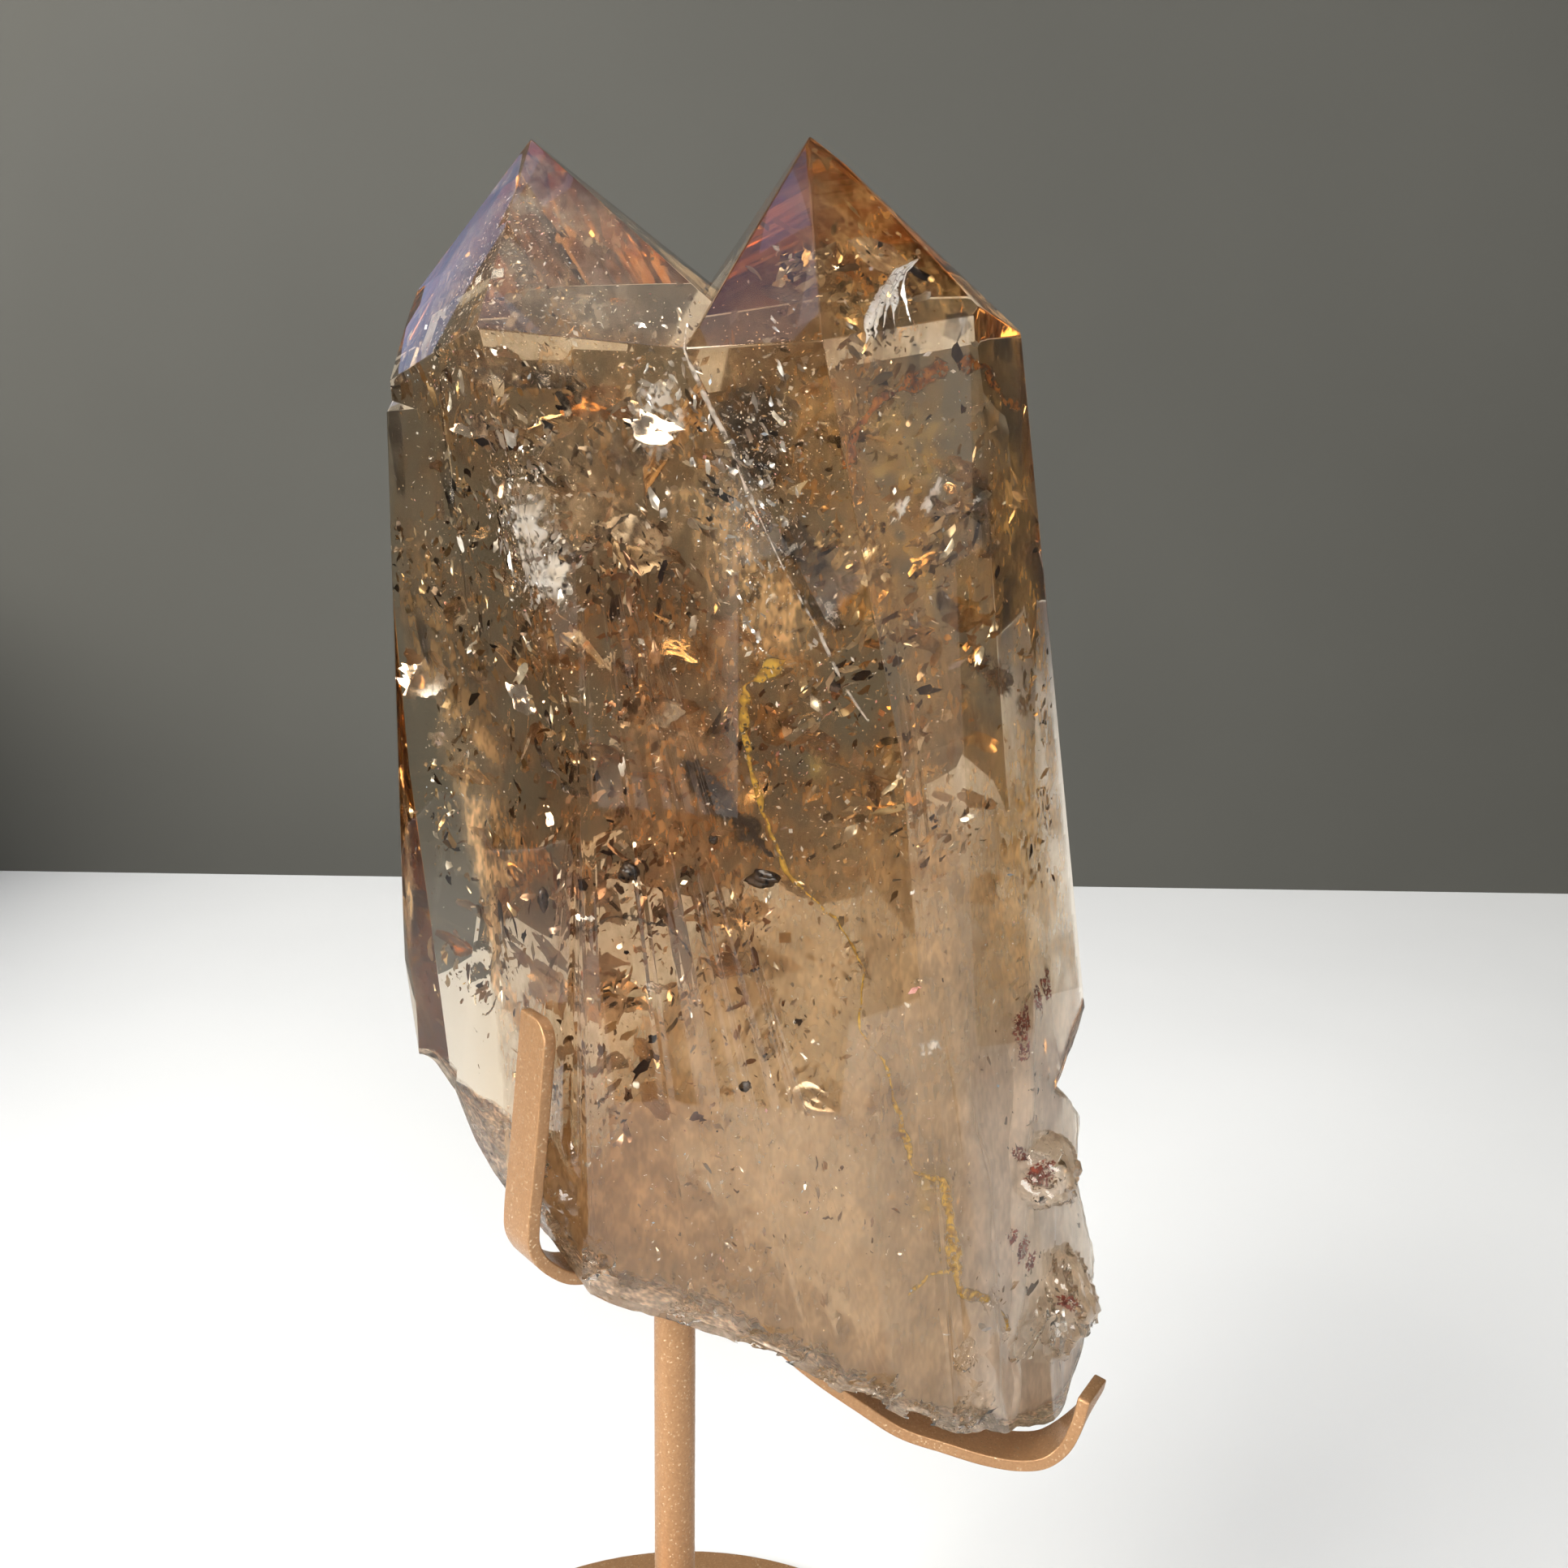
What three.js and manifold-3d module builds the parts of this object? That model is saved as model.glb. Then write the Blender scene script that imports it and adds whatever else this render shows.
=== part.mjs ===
// Smoky citrine cathedral on a metal stand, in millimetres, +Z up, seen from the front along +Y.
// The origin is the middle of the foot's underside, on the axis of the upright stem.
// Every flat face of the stone is a facet [turn, lift, reach]: turn in degrees around from the
// front, positive to the right; lift in degrees up from level; reach in millimetres from HEART.

import * as THREE from "three";
import { mergeVertices } from "three/addons/utils/BufferGeometryUtils.js";
import Module from "manifold-3d";

const wasm = await Module();
wasm.setup();

// Driving dimensions of the stand
const DISC_RADIUS = 66;
const DISC_THICKNESS = 5;
const DISC_CHAMFER = 0.8;
const STEM_DIAMETER = 8;
const STEM_TOP = 118;
const STRIP_WIDTH = 9.5;
const STRIP_THICKNESS = 2.4;
const GAP = 0.3;
const ROUND_SIDES = 64;

// Plan directions of the three cradle arms, degrees anticlockwise from +X
const LEFT_ARM_WAY = 217;
const RIGHT_ARM_WAY = -7;
const REAR_ARM_WAY = 103;

// Centre lines of the arms as [distance out from the stem, height]
const LEFT_ARM_LINE = [
  [0, 119.4], [5, 120.4], [12, 122.7], [20, 124.9], [25, 126.4], [28.3, 128.8], [30.9, 131.7], [32.2, 134.8],
  [32.2, 138.4], [30.8, 150], [28, 175.2],
];
const RIGHT_ARM_LINE = [
  [0, 119.8], [5, 119.5], [9.5, 116.6], [14, 112.6], [26.6, 101.6], [36.6, 94.9], [44.6, 90.2], [52.6, 88],
  [60.6, 86.1], [66.6, 85.6], [71.3, 86.5], [74.6, 89.4], [76.7, 94.2], [78, 100.6],
];
const REAR_ARM_LINE = [
  [0, 119.6], [12, 119], [24, 119.8], [30.5, 121.4], [33.6, 124.6], [34.6, 129], [34.4, 136], [33.4, 147],
];
const PRONG_CORNER = 4.6;
const RIGHT_PRONG_TWIST = 24;
const RIGHT_PRONG_MIDDLE = [[86, 72.6], [94, 76.5], [101, 78]];

// The stone: a reference point inside it, and the two tips
const HEART = new THREE.Vector3(10, 0, 200);
const ROUGH_BLOCK = [170, 110, 290];
const CUTTER_SIDE = 400;
const STONE_OFFSET = -1.4;

const LEFT_TIP = [
  [5.5, 38, 72.5], // front
  [-59.3, 28.5, 82.45], // left
  [-125, 49.3, 109.5], // back left
  [180, 38, 75.1], // back
  [80, 51.2, 74.9], // right
];

const LEFT_CRYSTAL = [
  [2, -0.75, 23.2], // broad front face
  [176, 1, 26.7], // back face
  ...LEFT_TIP,
];

// Two faces at the front left that meet in a hollow fold: only what lies beyond both is cut away
const LEFT_FOLD = [
  [-50, -10.46, 27.65], // upper
  [-50, -0.75, 32.5], // lower, behind the left prong
];

const RIGHT_CRYSTAL = [
  [-11.5, -7.95, 12.8], // left front face, beside the seam
  [-14.4, 38, 73.45], // left front face of the tip
  [29.7, 37.32, 79.93], // right front face of the tip
  [67.5, 45.55, 97.37], // narrow right face of the tip
  [115, 50, 102.05], // back right face of the tip
  [180, 37.4, 75], // back face of the tip
  [-78, 33.6, 56.8], // narrow left face of the tip
  [-118, 33.4, 58.9], // back left face of the tip
  [-90, 0, 15], // left side, inside its neighbour
  [168, -7, 21.8], // back face
];

const BACK_LEFT_LOBE = [
  [-30, -6.6, 20.7], // front face
  [-34, 52, 81.5], // small face at its top
  [90, 0, -38], // right side, inside the stone
  [178, -5, 24.5], // back face
  ...LEFT_TIP,
];

// Faces that the grown-together stone shares
const COMMON_FACES = [
  [36.9, 3, 37.25], // right front face
  [56.6, 4.9, 47.3], // right face
  [112, 9.9, 64.0], // back right face
  [-93, 3.05, 61.5], // left side
  [-90, 12, 74.4], // left shoulder
  [-61, -4, 51.6], // slender bevel down the left edge
  [-122, -1.5, 61.5], // back left face
];

// Broken base: height of the break along X at the front, and its slope towards the back
const BREAK_LINE = [
  [-70, 146], [-52, 144.5], [-46.5, 143.5], [-42.5, 139.5], [-38, 134.5], [-30, 130.8], [-24, 130.2],
  [-16, 127.8], [-4, 123.4],
  [7, 119.6], [16, 116], [25, 110.8], [33, 105.8], [45, 101.4], [58, 96.6], [66, 93.1], [73, 92.3], [100, 91],
];
const BREAK_SLOPE_LEFT = 0.24;
const BREAK_SLOPE_RIGHT = -0.04;
const BREAK_FRONT = -22;

// Rough right end: how far it reaches along X at each height
const END_LINE = [
  [60, 75], [84, 75.6], [89, 77.4], [94, 80], [99, 83.5], [104, 85], [111, 86.6], [116, 86.2], [122, 83.6],
  [129, 81.2], [136, 80], [141, 80.2], [146, 80.6], [150, 77.4], [154.5, 73], [158, 75.6], [162, 78.6],
  [166.5, 82.5], [171, 88], [180, 98],
];

// Lumps of natural surface left standing: [x, y, z, half sizes along x, y, z]
const LUMPS = [
  [-11.5, -9, 143.5, 13.6, 13.2, 15],
  [74, 3, 112, 9, 13, 12],
  [69, -2, 141, 9, 9, 8],
];

// Shell-shaped chips: [x, y, z, radius, depth, turn, lift] of each bite's middle on the surface
const CHIPS = [
  [70, -7, 151, 6.5, 1.5, 50, 10],
  [77, -6, 141, 5, 1.2, 62, 0],
  [64, -12, 135, 6, 1.1, 38, -4],
  [74, -5, 127, 5.5, 1.3, 60, -8],
  [68, -9.5, 111, 7, 1.2, 40, -6],
  [58, -17, 103, 6, 1.2, 30, -16],
  [-22, -15.5, 150, 6, 1.3, -50, 2],
  [-12, -22.6, 134, 6.5, 1.2, -12, -12],
  [20, -21.9, 117, 7, 1.2, 4, -20],
  [38, -20.6, 107, 6, 1.1, 10, -20],
  [-45, 6, 157, 6, 1.4, -40, -14],
  [20, 29, 150, 12, 1.6, 178, -4],
  [48, 25, 132, 10, 1.8, 165, -8],
  [-25, 30, 170, 9, 1.2, 180, 0],
  [62, 22, 150, 9, 1.6, 140, -4],
];

const toRadians = THREE.MathUtils.degToRad;

// Outward direction of a facet
function facing(turn, lift) {
  const flat = Math.cos(toRadians(lift));
  return new THREE.Vector3(
    Math.sin(toRadians(turn)) * flat,
    -Math.cos(toRadians(turn)) * flat,
    Math.sin(toRadians(lift)),
  );
}

// Closed solid for cutting and joining
function solidOf(geometry) {
  const bare = geometry.clone();
  bare.deleteAttribute("normal");
  bare.deleteAttribute("uv");
  const merged = mergeVertices(bare, 1e-4);
  return new wasm.Manifold(new wasm.Mesh({
    numProp: 3,
    vertProperties: merged.attributes.position.array,
    triVerts: Uint32Array.from(merged.index.array),
  }));
}

// Geometry of a solid
function geometryOf(solid) {
  const mesh = solid.getMesh();
  const geometry = new THREE.BufferGeometry();
  geometry.setAttribute("position", new THREE.Float32BufferAttribute(mesh.vertProperties, 3));
  geometry.setIndex(Array.from(mesh.triVerts));
  return geometry;
}

// Big block whose underside lies on a plane: everything beyond that plane
function blockBeyond(point, normal) {
  const block = new THREE.BoxGeometry(CUTTER_SIDE, CUTTER_SIDE, CUTTER_SIDE);
  const way = new THREE.Quaternion().setFromUnitVectors(new THREE.Vector3(0, 0, 1), normal);
  block.applyQuaternion(way);
  block.translate(...point.clone().addScaledVector(normal, CUTTER_SIDE / 2));
  return solidOf(block);
}

function beyondFacet([turn, lift, reach]) {
  const normal = facing(turn, lift);
  return blockBeyond(HEART.clone().addScaledVector(normal, reach), normal);
}

function cutByFacets(solid, facets) {
  return facets.reduce((left, facet) => left.subtract(beyondFacet(facet)), solid);
}

function crystal(facets) {
  const start = new THREE.BoxGeometry(...ROUGH_BLOCK);
  start.translate(...HEART);
  return cutByFacets(solidOf(start), facets);
}

// Repeatable random number from 0 to 1 for a grid point
function scatter(i, j, seed) {
  const wave = Math.sin(i * 127.1 + j * 311.7 + seed * 74.7) * 43758.5453;
  return wave - Math.floor(wave);
}

// Smooth noise from -1 to 1
function noise(x, y, seed) {
  const [i, j] = [Math.floor(x), Math.floor(y)];
  const [s, t] = [x - i, y - j].map((f) => f * f * (3 - 2 * f));
  const low = THREE.MathUtils.lerp(scatter(i, j, seed), scatter(i + 1, j, seed), s);
  const high = THREE.MathUtils.lerp(scatter(i, j + 1, seed), scatter(i + 1, j + 1, seed), s);
  return 2 * THREE.MathUtils.lerp(low, high, t) - 1;
}

// Relief of a natural break: broad waves, ledges and fine grain, in millimetres
function breakRelief(x, y, seed) {
  const broad = 1.5 * noise(x / 15, y / 15, seed);
  const ledge = 1.4 * Math.abs(noise(x / 9 + 0.3 * broad, y / 12, seed + 1));
  const fine = 0.55 * noise(x / 4, y / 4, seed + 2);
  return broad - ledge + fine;
}

// Value of a line of [position, value] points, straight between them
function along(line, position) {
  const end = line.findIndex(([at]) => at >= position);
  if (end < 1) {
    return end === 0 ? line[0][1] : line[line.length - 1][1];
  }
  const [[a, from], [b, to]] = [line[end - 1], line[end]];
  return THREE.MathUtils.lerp(from, to, (position - a) / (b - a));
}

// Everything under the broken base, a block whose top is the break
function underTheBreak() {
  const [length, depth, height, low] = [170, 100, 60, 60];
  const block = new THREE.BoxGeometry(length, depth, height, 56, 32, 1);
  block.translate(15, 0, low);
  const place = block.attributes.position;
  for (let k = 0; k < place.count; k += 1) {
    const [x, y, z] = [place.getX(k), place.getY(k), place.getZ(k)];
    if (z > low) {
      const mix = THREE.MathUtils.smoothstep(x, -5, 45);
      const slope = THREE.MathUtils.lerp(BREAK_SLOPE_LEFT, BREAK_SLOPE_RIGHT, mix);
      const calm = THREE.MathUtils.lerp(0.35, 1, THREE.MathUtils.smoothstep(Math.abs(y + 24), 0, 14));
      place.setZ(k, along(BREAK_LINE, x) + slope * (y - BREAK_FRONT) + calm * breakRelief(x, y, 5));
    }
  }
  return solidOf(block);
}

// Everything beyond the rough right end, a block whose left side is the break
function beyondTheEnd() {
  const [length, depth, height] = [80, 90, 120];
  const block = new THREE.BoxGeometry(length, depth, height, 1, 30, 56);
  block.translate(110, 0, 120);
  const place = block.attributes.position;
  for (let k = 0; k < place.count; k += 1) {
    const [x, y, z] = [place.getX(k), place.getY(k), place.getZ(k)];
    if (x < 100) {
      const round = 0.012 * (y - 2) * (y - 2);
      place.setX(k, along(END_LINE, z) - round + 0.55 * breakRelief(y + 40, z, 11));
    }
  }
  return solidOf(block);
}

// Knobbly lump of natural surface
function lump([x, y, z, wide, deep, high], seed) {
  const ball = new THREE.SphereGeometry(1, 24, 16);
  const place = ball.attributes.position;
  const point = new THREE.Vector3();
  for (let k = 0; k < place.count; k += 1) {
    point.fromBufferAttribute(place, k);
    const swell = 1 + 0.07 * noise(2.2 * point.x + 3 * point.z, 2.2 * point.y - 2 * point.z, seed);
    place.setXYZ(k, x + wide * swell * point.x, y + deep * swell * point.y, z + high * swell * point.z);
  }
  return solidOf(ball);
}

// Shallow dish that a chip leaves in the surface
function chip([x, y, z, radius, depth, turn, lift]) {
  const dish = new THREE.SphereGeometry(1, 20, 12);
  dish.scale(radius, radius, 2 * depth);
  const normal = facing(turn, lift);
  dish.applyQuaternion(new THREE.Quaternion().setFromUnitVectors(new THREE.Vector3(0, 0, 1), normal));
  dish.translate(...new THREE.Vector3(x, y, z).addScaledVector(normal, depth));
  return solidOf(dish);
}

// Flat strip bent along a line in its own upright plane, as a geometry with the stem's axis at x = 0
function bentStrip(line) {
  const curve = new THREE.CatmullRomCurve3(line.map(([out, high]) => new THREE.Vector3(out, high, 0)), false,
    "centripetal");
  const steps = 4 * (line.length - 1);
  const half = STRIP_THICKNESS / 2;
  const sides = [[], []];
  for (let k = 0; k <= steps; k += 1) {
    const middle = curve.getPointAt(k / steps);
    const ahead = curve.getTangentAt(k / steps);
    sides[0].push(new THREE.Vector2(middle.x - half * ahead.y, middle.y + half * ahead.x));
    sides[1].unshift(new THREE.Vector2(middle.x + half * ahead.y, middle.y - half * ahead.x));
  }
  const strip = new THREE.ExtrudeGeometry(new THREE.Shape([...sides[0], ...sides[1]]), {
    depth: STRIP_WIDTH,
    steps: 1,
    bevelEnabled: false,
  });
  strip.translate(0, 0, -STRIP_WIDTH / 2);
  strip.rotateX(Math.PI / 2);
  return strip;
}

// Blocks that keep an arm inside its wedge of the hub, halfway to its neighbours on both sides
function wedgeCuts(way, before, after) {
  return [(way + before) / 2 - 90, (way + after) / 2 + 90].map((turn) => {
    const normal = new THREE.Vector3(Math.cos(toRadians(turn)), Math.sin(toRadians(turn)), 0);
    return blockBeyond(normal.clone().multiplyScalar(-GAP / 2), normal);
  });
}

function arm(line, way, before, after, finish = (strip) => strip) {
  const strip = bentStrip(line);
  finish(strip);
  strip.rotateZ(toRadians(way));
  return wedgeCuts(way, before, after).reduce((left, cut) => left.subtract(cut), solidOf(strip));
}

// Corner of a prong's end taken off round, on the side given by its sign across the strip
function roundedCorner(solid, line, way, side) {
  const [out, high] = line[line.length - 1];
  const corner = new THREE.Shape();
  corner.moveTo(0, 0);
  corner.absarc(-PRONG_CORNER, -PRONG_CORNER, PRONG_CORNER, 0, Math.PI / 2, false);
  corner.lineTo(-PRONG_CORNER, 1);
  corner.lineTo(1, 1);
  corner.lineTo(1, -PRONG_CORNER);
  const settings = { depth: 20, steps: 1, bevelEnabled: false, curveSegments: 6 };
  const cutter = new THREE.ExtrudeGeometry(corner, settings);
  cutter.translate(STRIP_WIDTH / 2, 0, -10);
  cutter.scale(side, 1, side);
  cutter.rotateX(Math.PI / 2);
  cutter.rotateZ(Math.PI / 2);
  cutter.translate(out, 0, high);
  cutter.rotateZ(toRadians(way));
  return solid.subtract(solidOf(cutter));
}

// Right prong turned about its near edge as it rises, so that its outer face shows a little
function twistRightProng(strip) {
  const place = strip.attributes.position;
  const pivotY = -STRIP_WIDTH / 2;
  for (let k = 0; k < place.count; k += 1) {
    const [x, y, z] = [place.getX(k), place.getY(k), place.getZ(k)];
    if (x > 66) {
      const turned = toRadians(-RIGHT_PRONG_TWIST) * THREE.MathUtils.smoothstep(z, 87, 99);
      const middle = along(RIGHT_PRONG_MIDDLE, z);
      const [dx, dy] = [x - middle, y - pivotY];
      place.setX(k, middle + dx * Math.cos(turned) - dy * Math.sin(turned));
      place.setY(k, pivotY + dx * Math.sin(turned) + dy * Math.cos(turned));
    }
  }
}

const group = new THREE.Group();

function add(name, geometry, colour, roughness, metalness, parent = group) {
  const material = new THREE.MeshStandardMaterial({ color: colour, roughness, metalness });
  const mesh = new THREE.Mesh(geometry, material);
  mesh.name = name;
  parent.add(mesh);
  return mesh;
}

// Stand
const stand = new THREE.Group();
group.add(stand);

const discProfile = [
  [0, 0], [DISC_RADIUS - DISC_CHAMFER, 0], [DISC_RADIUS, DISC_CHAMFER],
  [DISC_RADIUS, DISC_THICKNESS - DISC_CHAMFER],
  [DISC_RADIUS - DISC_CHAMFER, DISC_THICKNESS], [0, DISC_THICKNESS],
].map(([out, high]) => new THREE.Vector2(out, high));
const disc = new THREE.LatheGeometry(discProfile, ROUND_SIDES);
disc.rotateX(Math.PI / 2);
add("base_disc", disc, 0xc58a55, 0.45, 0.6, stand);

const stemLength = STEM_TOP - DISC_THICKNESS - 2 * GAP;
const stem = new THREE.CylinderGeometry(STEM_DIAMETER / 2, STEM_DIAMETER / 2, stemLength, 32);
stem.rotateX(Math.PI / 2);
add("stem", stem, 0xd6aa78, 0.45, 0.6, stand).position.set(0, 0, DISC_THICKNESS + GAP + stemLength / 2);

let leftArm = arm(LEFT_ARM_LINE, LEFT_ARM_WAY, REAR_ARM_WAY, RIGHT_ARM_WAY + 360);
leftArm = roundedCorner(leftArm, LEFT_ARM_LINE, LEFT_ARM_WAY, 1);
const rightArm = arm(RIGHT_ARM_LINE, RIGHT_ARM_WAY, LEFT_ARM_WAY - 360, REAR_ARM_WAY, twistRightProng);
let rearArm = arm(REAR_ARM_LINE, REAR_ARM_WAY, RIGHT_ARM_WAY, LEFT_ARM_WAY);
rearArm = roundedCorner(rearArm, REAR_ARM_LINE, REAR_ARM_WAY, 1);
rearArm = roundedCorner(rearArm, REAR_ARM_LINE, REAR_ARM_WAY, -1);
add("cradle_arm_left", geometryOf(leftArm), 0xd39b63, 0.45, 0.6, stand);
add("cradle_arm_right", geometryOf(rightArm), 0xd39b63, 0.45, 0.6, stand);
add("cradle_arm_rear", geometryOf(rearArm), 0xd39b63, 0.45, 0.6, stand);

// Stone
const beyondFold = beyondFacet(LEFT_FOLD[0]).intersect(beyondFacet(LEFT_FOLD[1]));
const leftCrystal = crystal(LEFT_CRYSTAL).subtract(beyondFold);
let stone = leftCrystal.add(crystal(RIGHT_CRYSTAL)).add(crystal(BACK_LEFT_LOBE));
stone = cutByFacets(stone, COMMON_FACES);
LUMPS.forEach((size, k) => {
  stone = stone.add(lump(size, 20 + k));
});
stone = stone.subtract(underTheBreak()).subtract(beyondTheEnd());
CHIPS.forEach((bite) => {
  stone = stone.subtract(chip(bite));
});
add("crystal", geometryOf(stone), 0x8a6a3e, 0.05, 0).position.x = STONE_OFFSET;

export default group;
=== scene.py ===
import math

import bmesh
import bpy
import numpy as np
from mathutils import Matrix


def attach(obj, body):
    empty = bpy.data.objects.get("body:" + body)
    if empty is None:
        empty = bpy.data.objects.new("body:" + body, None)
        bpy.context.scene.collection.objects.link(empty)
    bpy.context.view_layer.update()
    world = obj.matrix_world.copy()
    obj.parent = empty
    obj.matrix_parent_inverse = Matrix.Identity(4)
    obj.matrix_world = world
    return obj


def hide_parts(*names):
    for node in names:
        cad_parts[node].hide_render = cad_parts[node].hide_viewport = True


# Smoky citrine twin crystal on a copper-coated stand. The tables are in millimetres, +Z up, the front faces -Y.
# A facet is [turn, lift, reach]: degrees around from the front, degrees up from level, millimetres from HEART.

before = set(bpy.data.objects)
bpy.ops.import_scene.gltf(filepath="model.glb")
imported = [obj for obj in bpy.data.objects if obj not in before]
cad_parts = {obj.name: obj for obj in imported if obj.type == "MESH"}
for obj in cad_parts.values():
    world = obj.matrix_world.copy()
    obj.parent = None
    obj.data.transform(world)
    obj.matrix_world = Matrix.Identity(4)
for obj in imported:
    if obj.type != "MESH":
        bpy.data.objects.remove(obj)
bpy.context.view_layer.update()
MM = 0.001

HEART = np.array([8.6, 0.0, 200.0])
STONE_OFFSET = -1.4

LEFT_TIP = [[5.5, 38, 72.5], [-59.3, 28.5, 82.45], [-125, 49.3, 109.5], [180, 38, 75.1], [80, 51.2, 74.9]]
LEFT_BODY = [[2, -0.75, 23.2], [176, 1, 26.7]]
FOLD_UPPER = [-50, -10.46, 27.65]
FOLD_LOWER = [-50, -0.75, 32.5]
RIGHT_CRYSTAL = [[-11.5, -7.95, 12.8], [-14.4, 38, 73.45], [29.7, 37.32, 79.93], [67.5, 45.55, 97.37],
                 [115, 50, 102.05], [180, 37.4, 75], [-78, 33.6, 56.8], [-118, 33.4, 58.9], [-90, 0, 15],
                 [168, -7, 21.8]]
BACK_LEFT_LOBE = [[-30, -6.6, 20.7], [-34, 52, 81.5], [90, 0, -38], [178, -5, 24.5]] + LEFT_TIP
SHARED = [[36.9, 3, 37.25], [56.6, 4.9, 47.3], [112, 9.9, 64.0], [-93, 3.05, 61.5], [-90, 12, 74.4],
          [-61, -4, 51.6], [-122, -1.5, 61.5]]
CRYSTALS = [LEFT_TIP + LEFT_BODY + [FOLD_UPPER], LEFT_TIP + LEFT_BODY + [FOLD_LOWER], RIGHT_CRYSTAL, BACK_LEFT_LOBE]

BREAK_LINE = [[-70, 146], [-52, 144.5], [-46.5, 143.5], [-42.5, 139.5], [-38, 134.5], [-30, 130.8], [-24, 130.2],
              [-16, 127.8], [-4, 123.4], [7, 119.6], [16, 116], [25, 110.8], [33, 105.8], [45, 101.4], [58, 96.6], [66, 93.1],
              [73, 92.3], [100, 91]]
END_LINE = [[60, 75], [84, 75.6], [89, 77.4], [94, 80], [99, 83.5], [104, 85], [111, 86.6], [116, 86.2],
            [122, 83.6], [129, 81.2], [136, 80], [141, 80.2], [146, 80.6], [150, 77.4], [154.5, 73], [158, 75.6],
            [162, 78.6], [166.5, 82.5], [171, 88], [180, 98]]
BREAK_SLOPE_LEFT, BREAK_SLOPE_RIGHT, BREAK_FRONT = 0.24, -0.04, -22
LUMPS = [[-11.5, -9, 143.5, 13.6, 13.2, 15], [74, 3, 112, 9, 13, 12], [69, -2, 141, 9, 9, 8]]
CHIPS = [[70, -7, 151, 6.5, 1.5, 50, 10], [77, -6, 141, 5, 1.2, 62, 0], [64, -12, 135, 6, 1.1, 38, -4],
         [74, -5, 127, 5.5, 1.3, 60, -8], [68, -9.5, 111, 7, 1.2, 40, -6], [58, -17, 103, 6, 1.2, 30, -16],
         [-22, -15.5, 150, 6, 1.3, -50, 2], [-12, -22.6, 134, 6.5, 1.2, -12, -12], [20, -21.9, 117, 7, 1.2, 4, -20],
         [38, -20.6, 107, 6, 1.1, 10, -20], [-45, 6, 157, 6, 1.4, -40, -14], [20, 29, 150, 12, 1.6, 178, -4],
         [48, 25, 132, 10, 1.8, 165, -8], [-25, 30, 170, 9, 1.2, 180, 0], [62, 22, 150, 9, 1.6, 140, -4]]

SMALL_CHIPS = [[67, -9.5, 146, 3.6, 1.3, 40, 6], [73, -8, 134, 3.8, 1.2, 52, 0], [61, -14, 121, 4.0, 1.1, 34, 0],
               [72, -9, 119, 3.4, 1.2, 48, 8], [64, -13, 113, 3.2, 1.1, 36, -6], [79, -2, 107, 3.6, 1.4, 70, -8],
               [80, 3, 121, 4.0, 1.3, 84, 4], [76, 0, 150, 3.4, 1.3, 70, 14], [55, -17.5, 112, 3.4, 1.0, 30, 0],
               [47, -19.5, 101, 3.6, 1.1, 18, -24], [30, -21.6, 110, 3.0, 1.0, 8, -16], [5, -22.2, 123, 3.4, 1.0, 2, -18]]

# Inclusions, each point a little under the front faces
IRON_VEIN = [(19.9, -20.3, 238.6), (13.0, -20.5, 234.7), (13.0, -20.4, 226.5), (15.0, -20.3, 217.8),
             (18.5, -20.0, 206.9), (20.1, -19.9, 202.9), (26.4, -19.6, 196.8), (28.7, -19.5, 195.2),
             (33.6, -19.2, 186.5), (33.3, -19.1, 174.1), (37.2, -18.9, 169.5), (39.5, -18.8, 163.2),
             (42.1, -18.6, 152.7), (43.8, -18.4, 148.1), (48.1, -17.2, 146.2), (49.6, -16.6, 138.7),
             (50.8, -16.3, 129.0), (51.9, -15.8, 123.7), (56.9, -12.3, 120.5), (61.6, -9.2, 113.8),
             (62.0, -8.7, 109.1)]
IRON_BRANCH = [(50.8, -16.3, 129.0), (46.6, -18.1, 128.1), (43.4, -18.2, 124.4)]
RUST_ARC = [(28.6, -23.0, 269.3), (28.5, -22.3, 273.3), (30.8, -20.4, 277.1), (33.5, -18.2, 280.0),
            (37.8, -14.8, 282.3), (42.7, -10.9, 285.3), (47.8, -7.0, 286.2), (50.4, -3.6, 285.7),
            (54.8, 2.2, 280.3), (58.0, 6.9, 279.5)]
SEAM = [(3.3, -20.8, 290.8), (3.1, -23.8, 287.2), (5.9, -23.6, 281.2), (10.5, -23.3, 272.4), (12.8, -23.1, 266.3),
        (19.0, -22.8, 253.7), (24.6, -22.4, 244.0), (29.5, -22.1, 234.1), (33.9, -21.9, 228.0)]
DARK_ARCS = [[(-5.9, -17.5, 261.4), (-10.6, -17.7, 257.6), (-15.8, -17.8, 253.0), (-18.0, -16.6, 247.5),
              (-22.7, -9.0, 240.6), (-25.5, -4.3, 235.6)],
             [(-21.8, -7.0, 223.7), (-19.2, -10.1, 219.9), (-15.1, -14.8, 216.7), (-12.8, -18.2, 215.2)],
             [(2.5, -17.8, 221.8), (6.3, -17.6, 217.3), (11.3, -17.3, 211.5), (18.6, -17.0, 204.4)],
             [(-19.8, -8.6, 180.4), (-14.8, -14.7, 190.3), (-8.5, -17.9, 194.7), (-0.2, -17.5, 193.0),
              (4.5, -17.3, 187.2)]]
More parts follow.
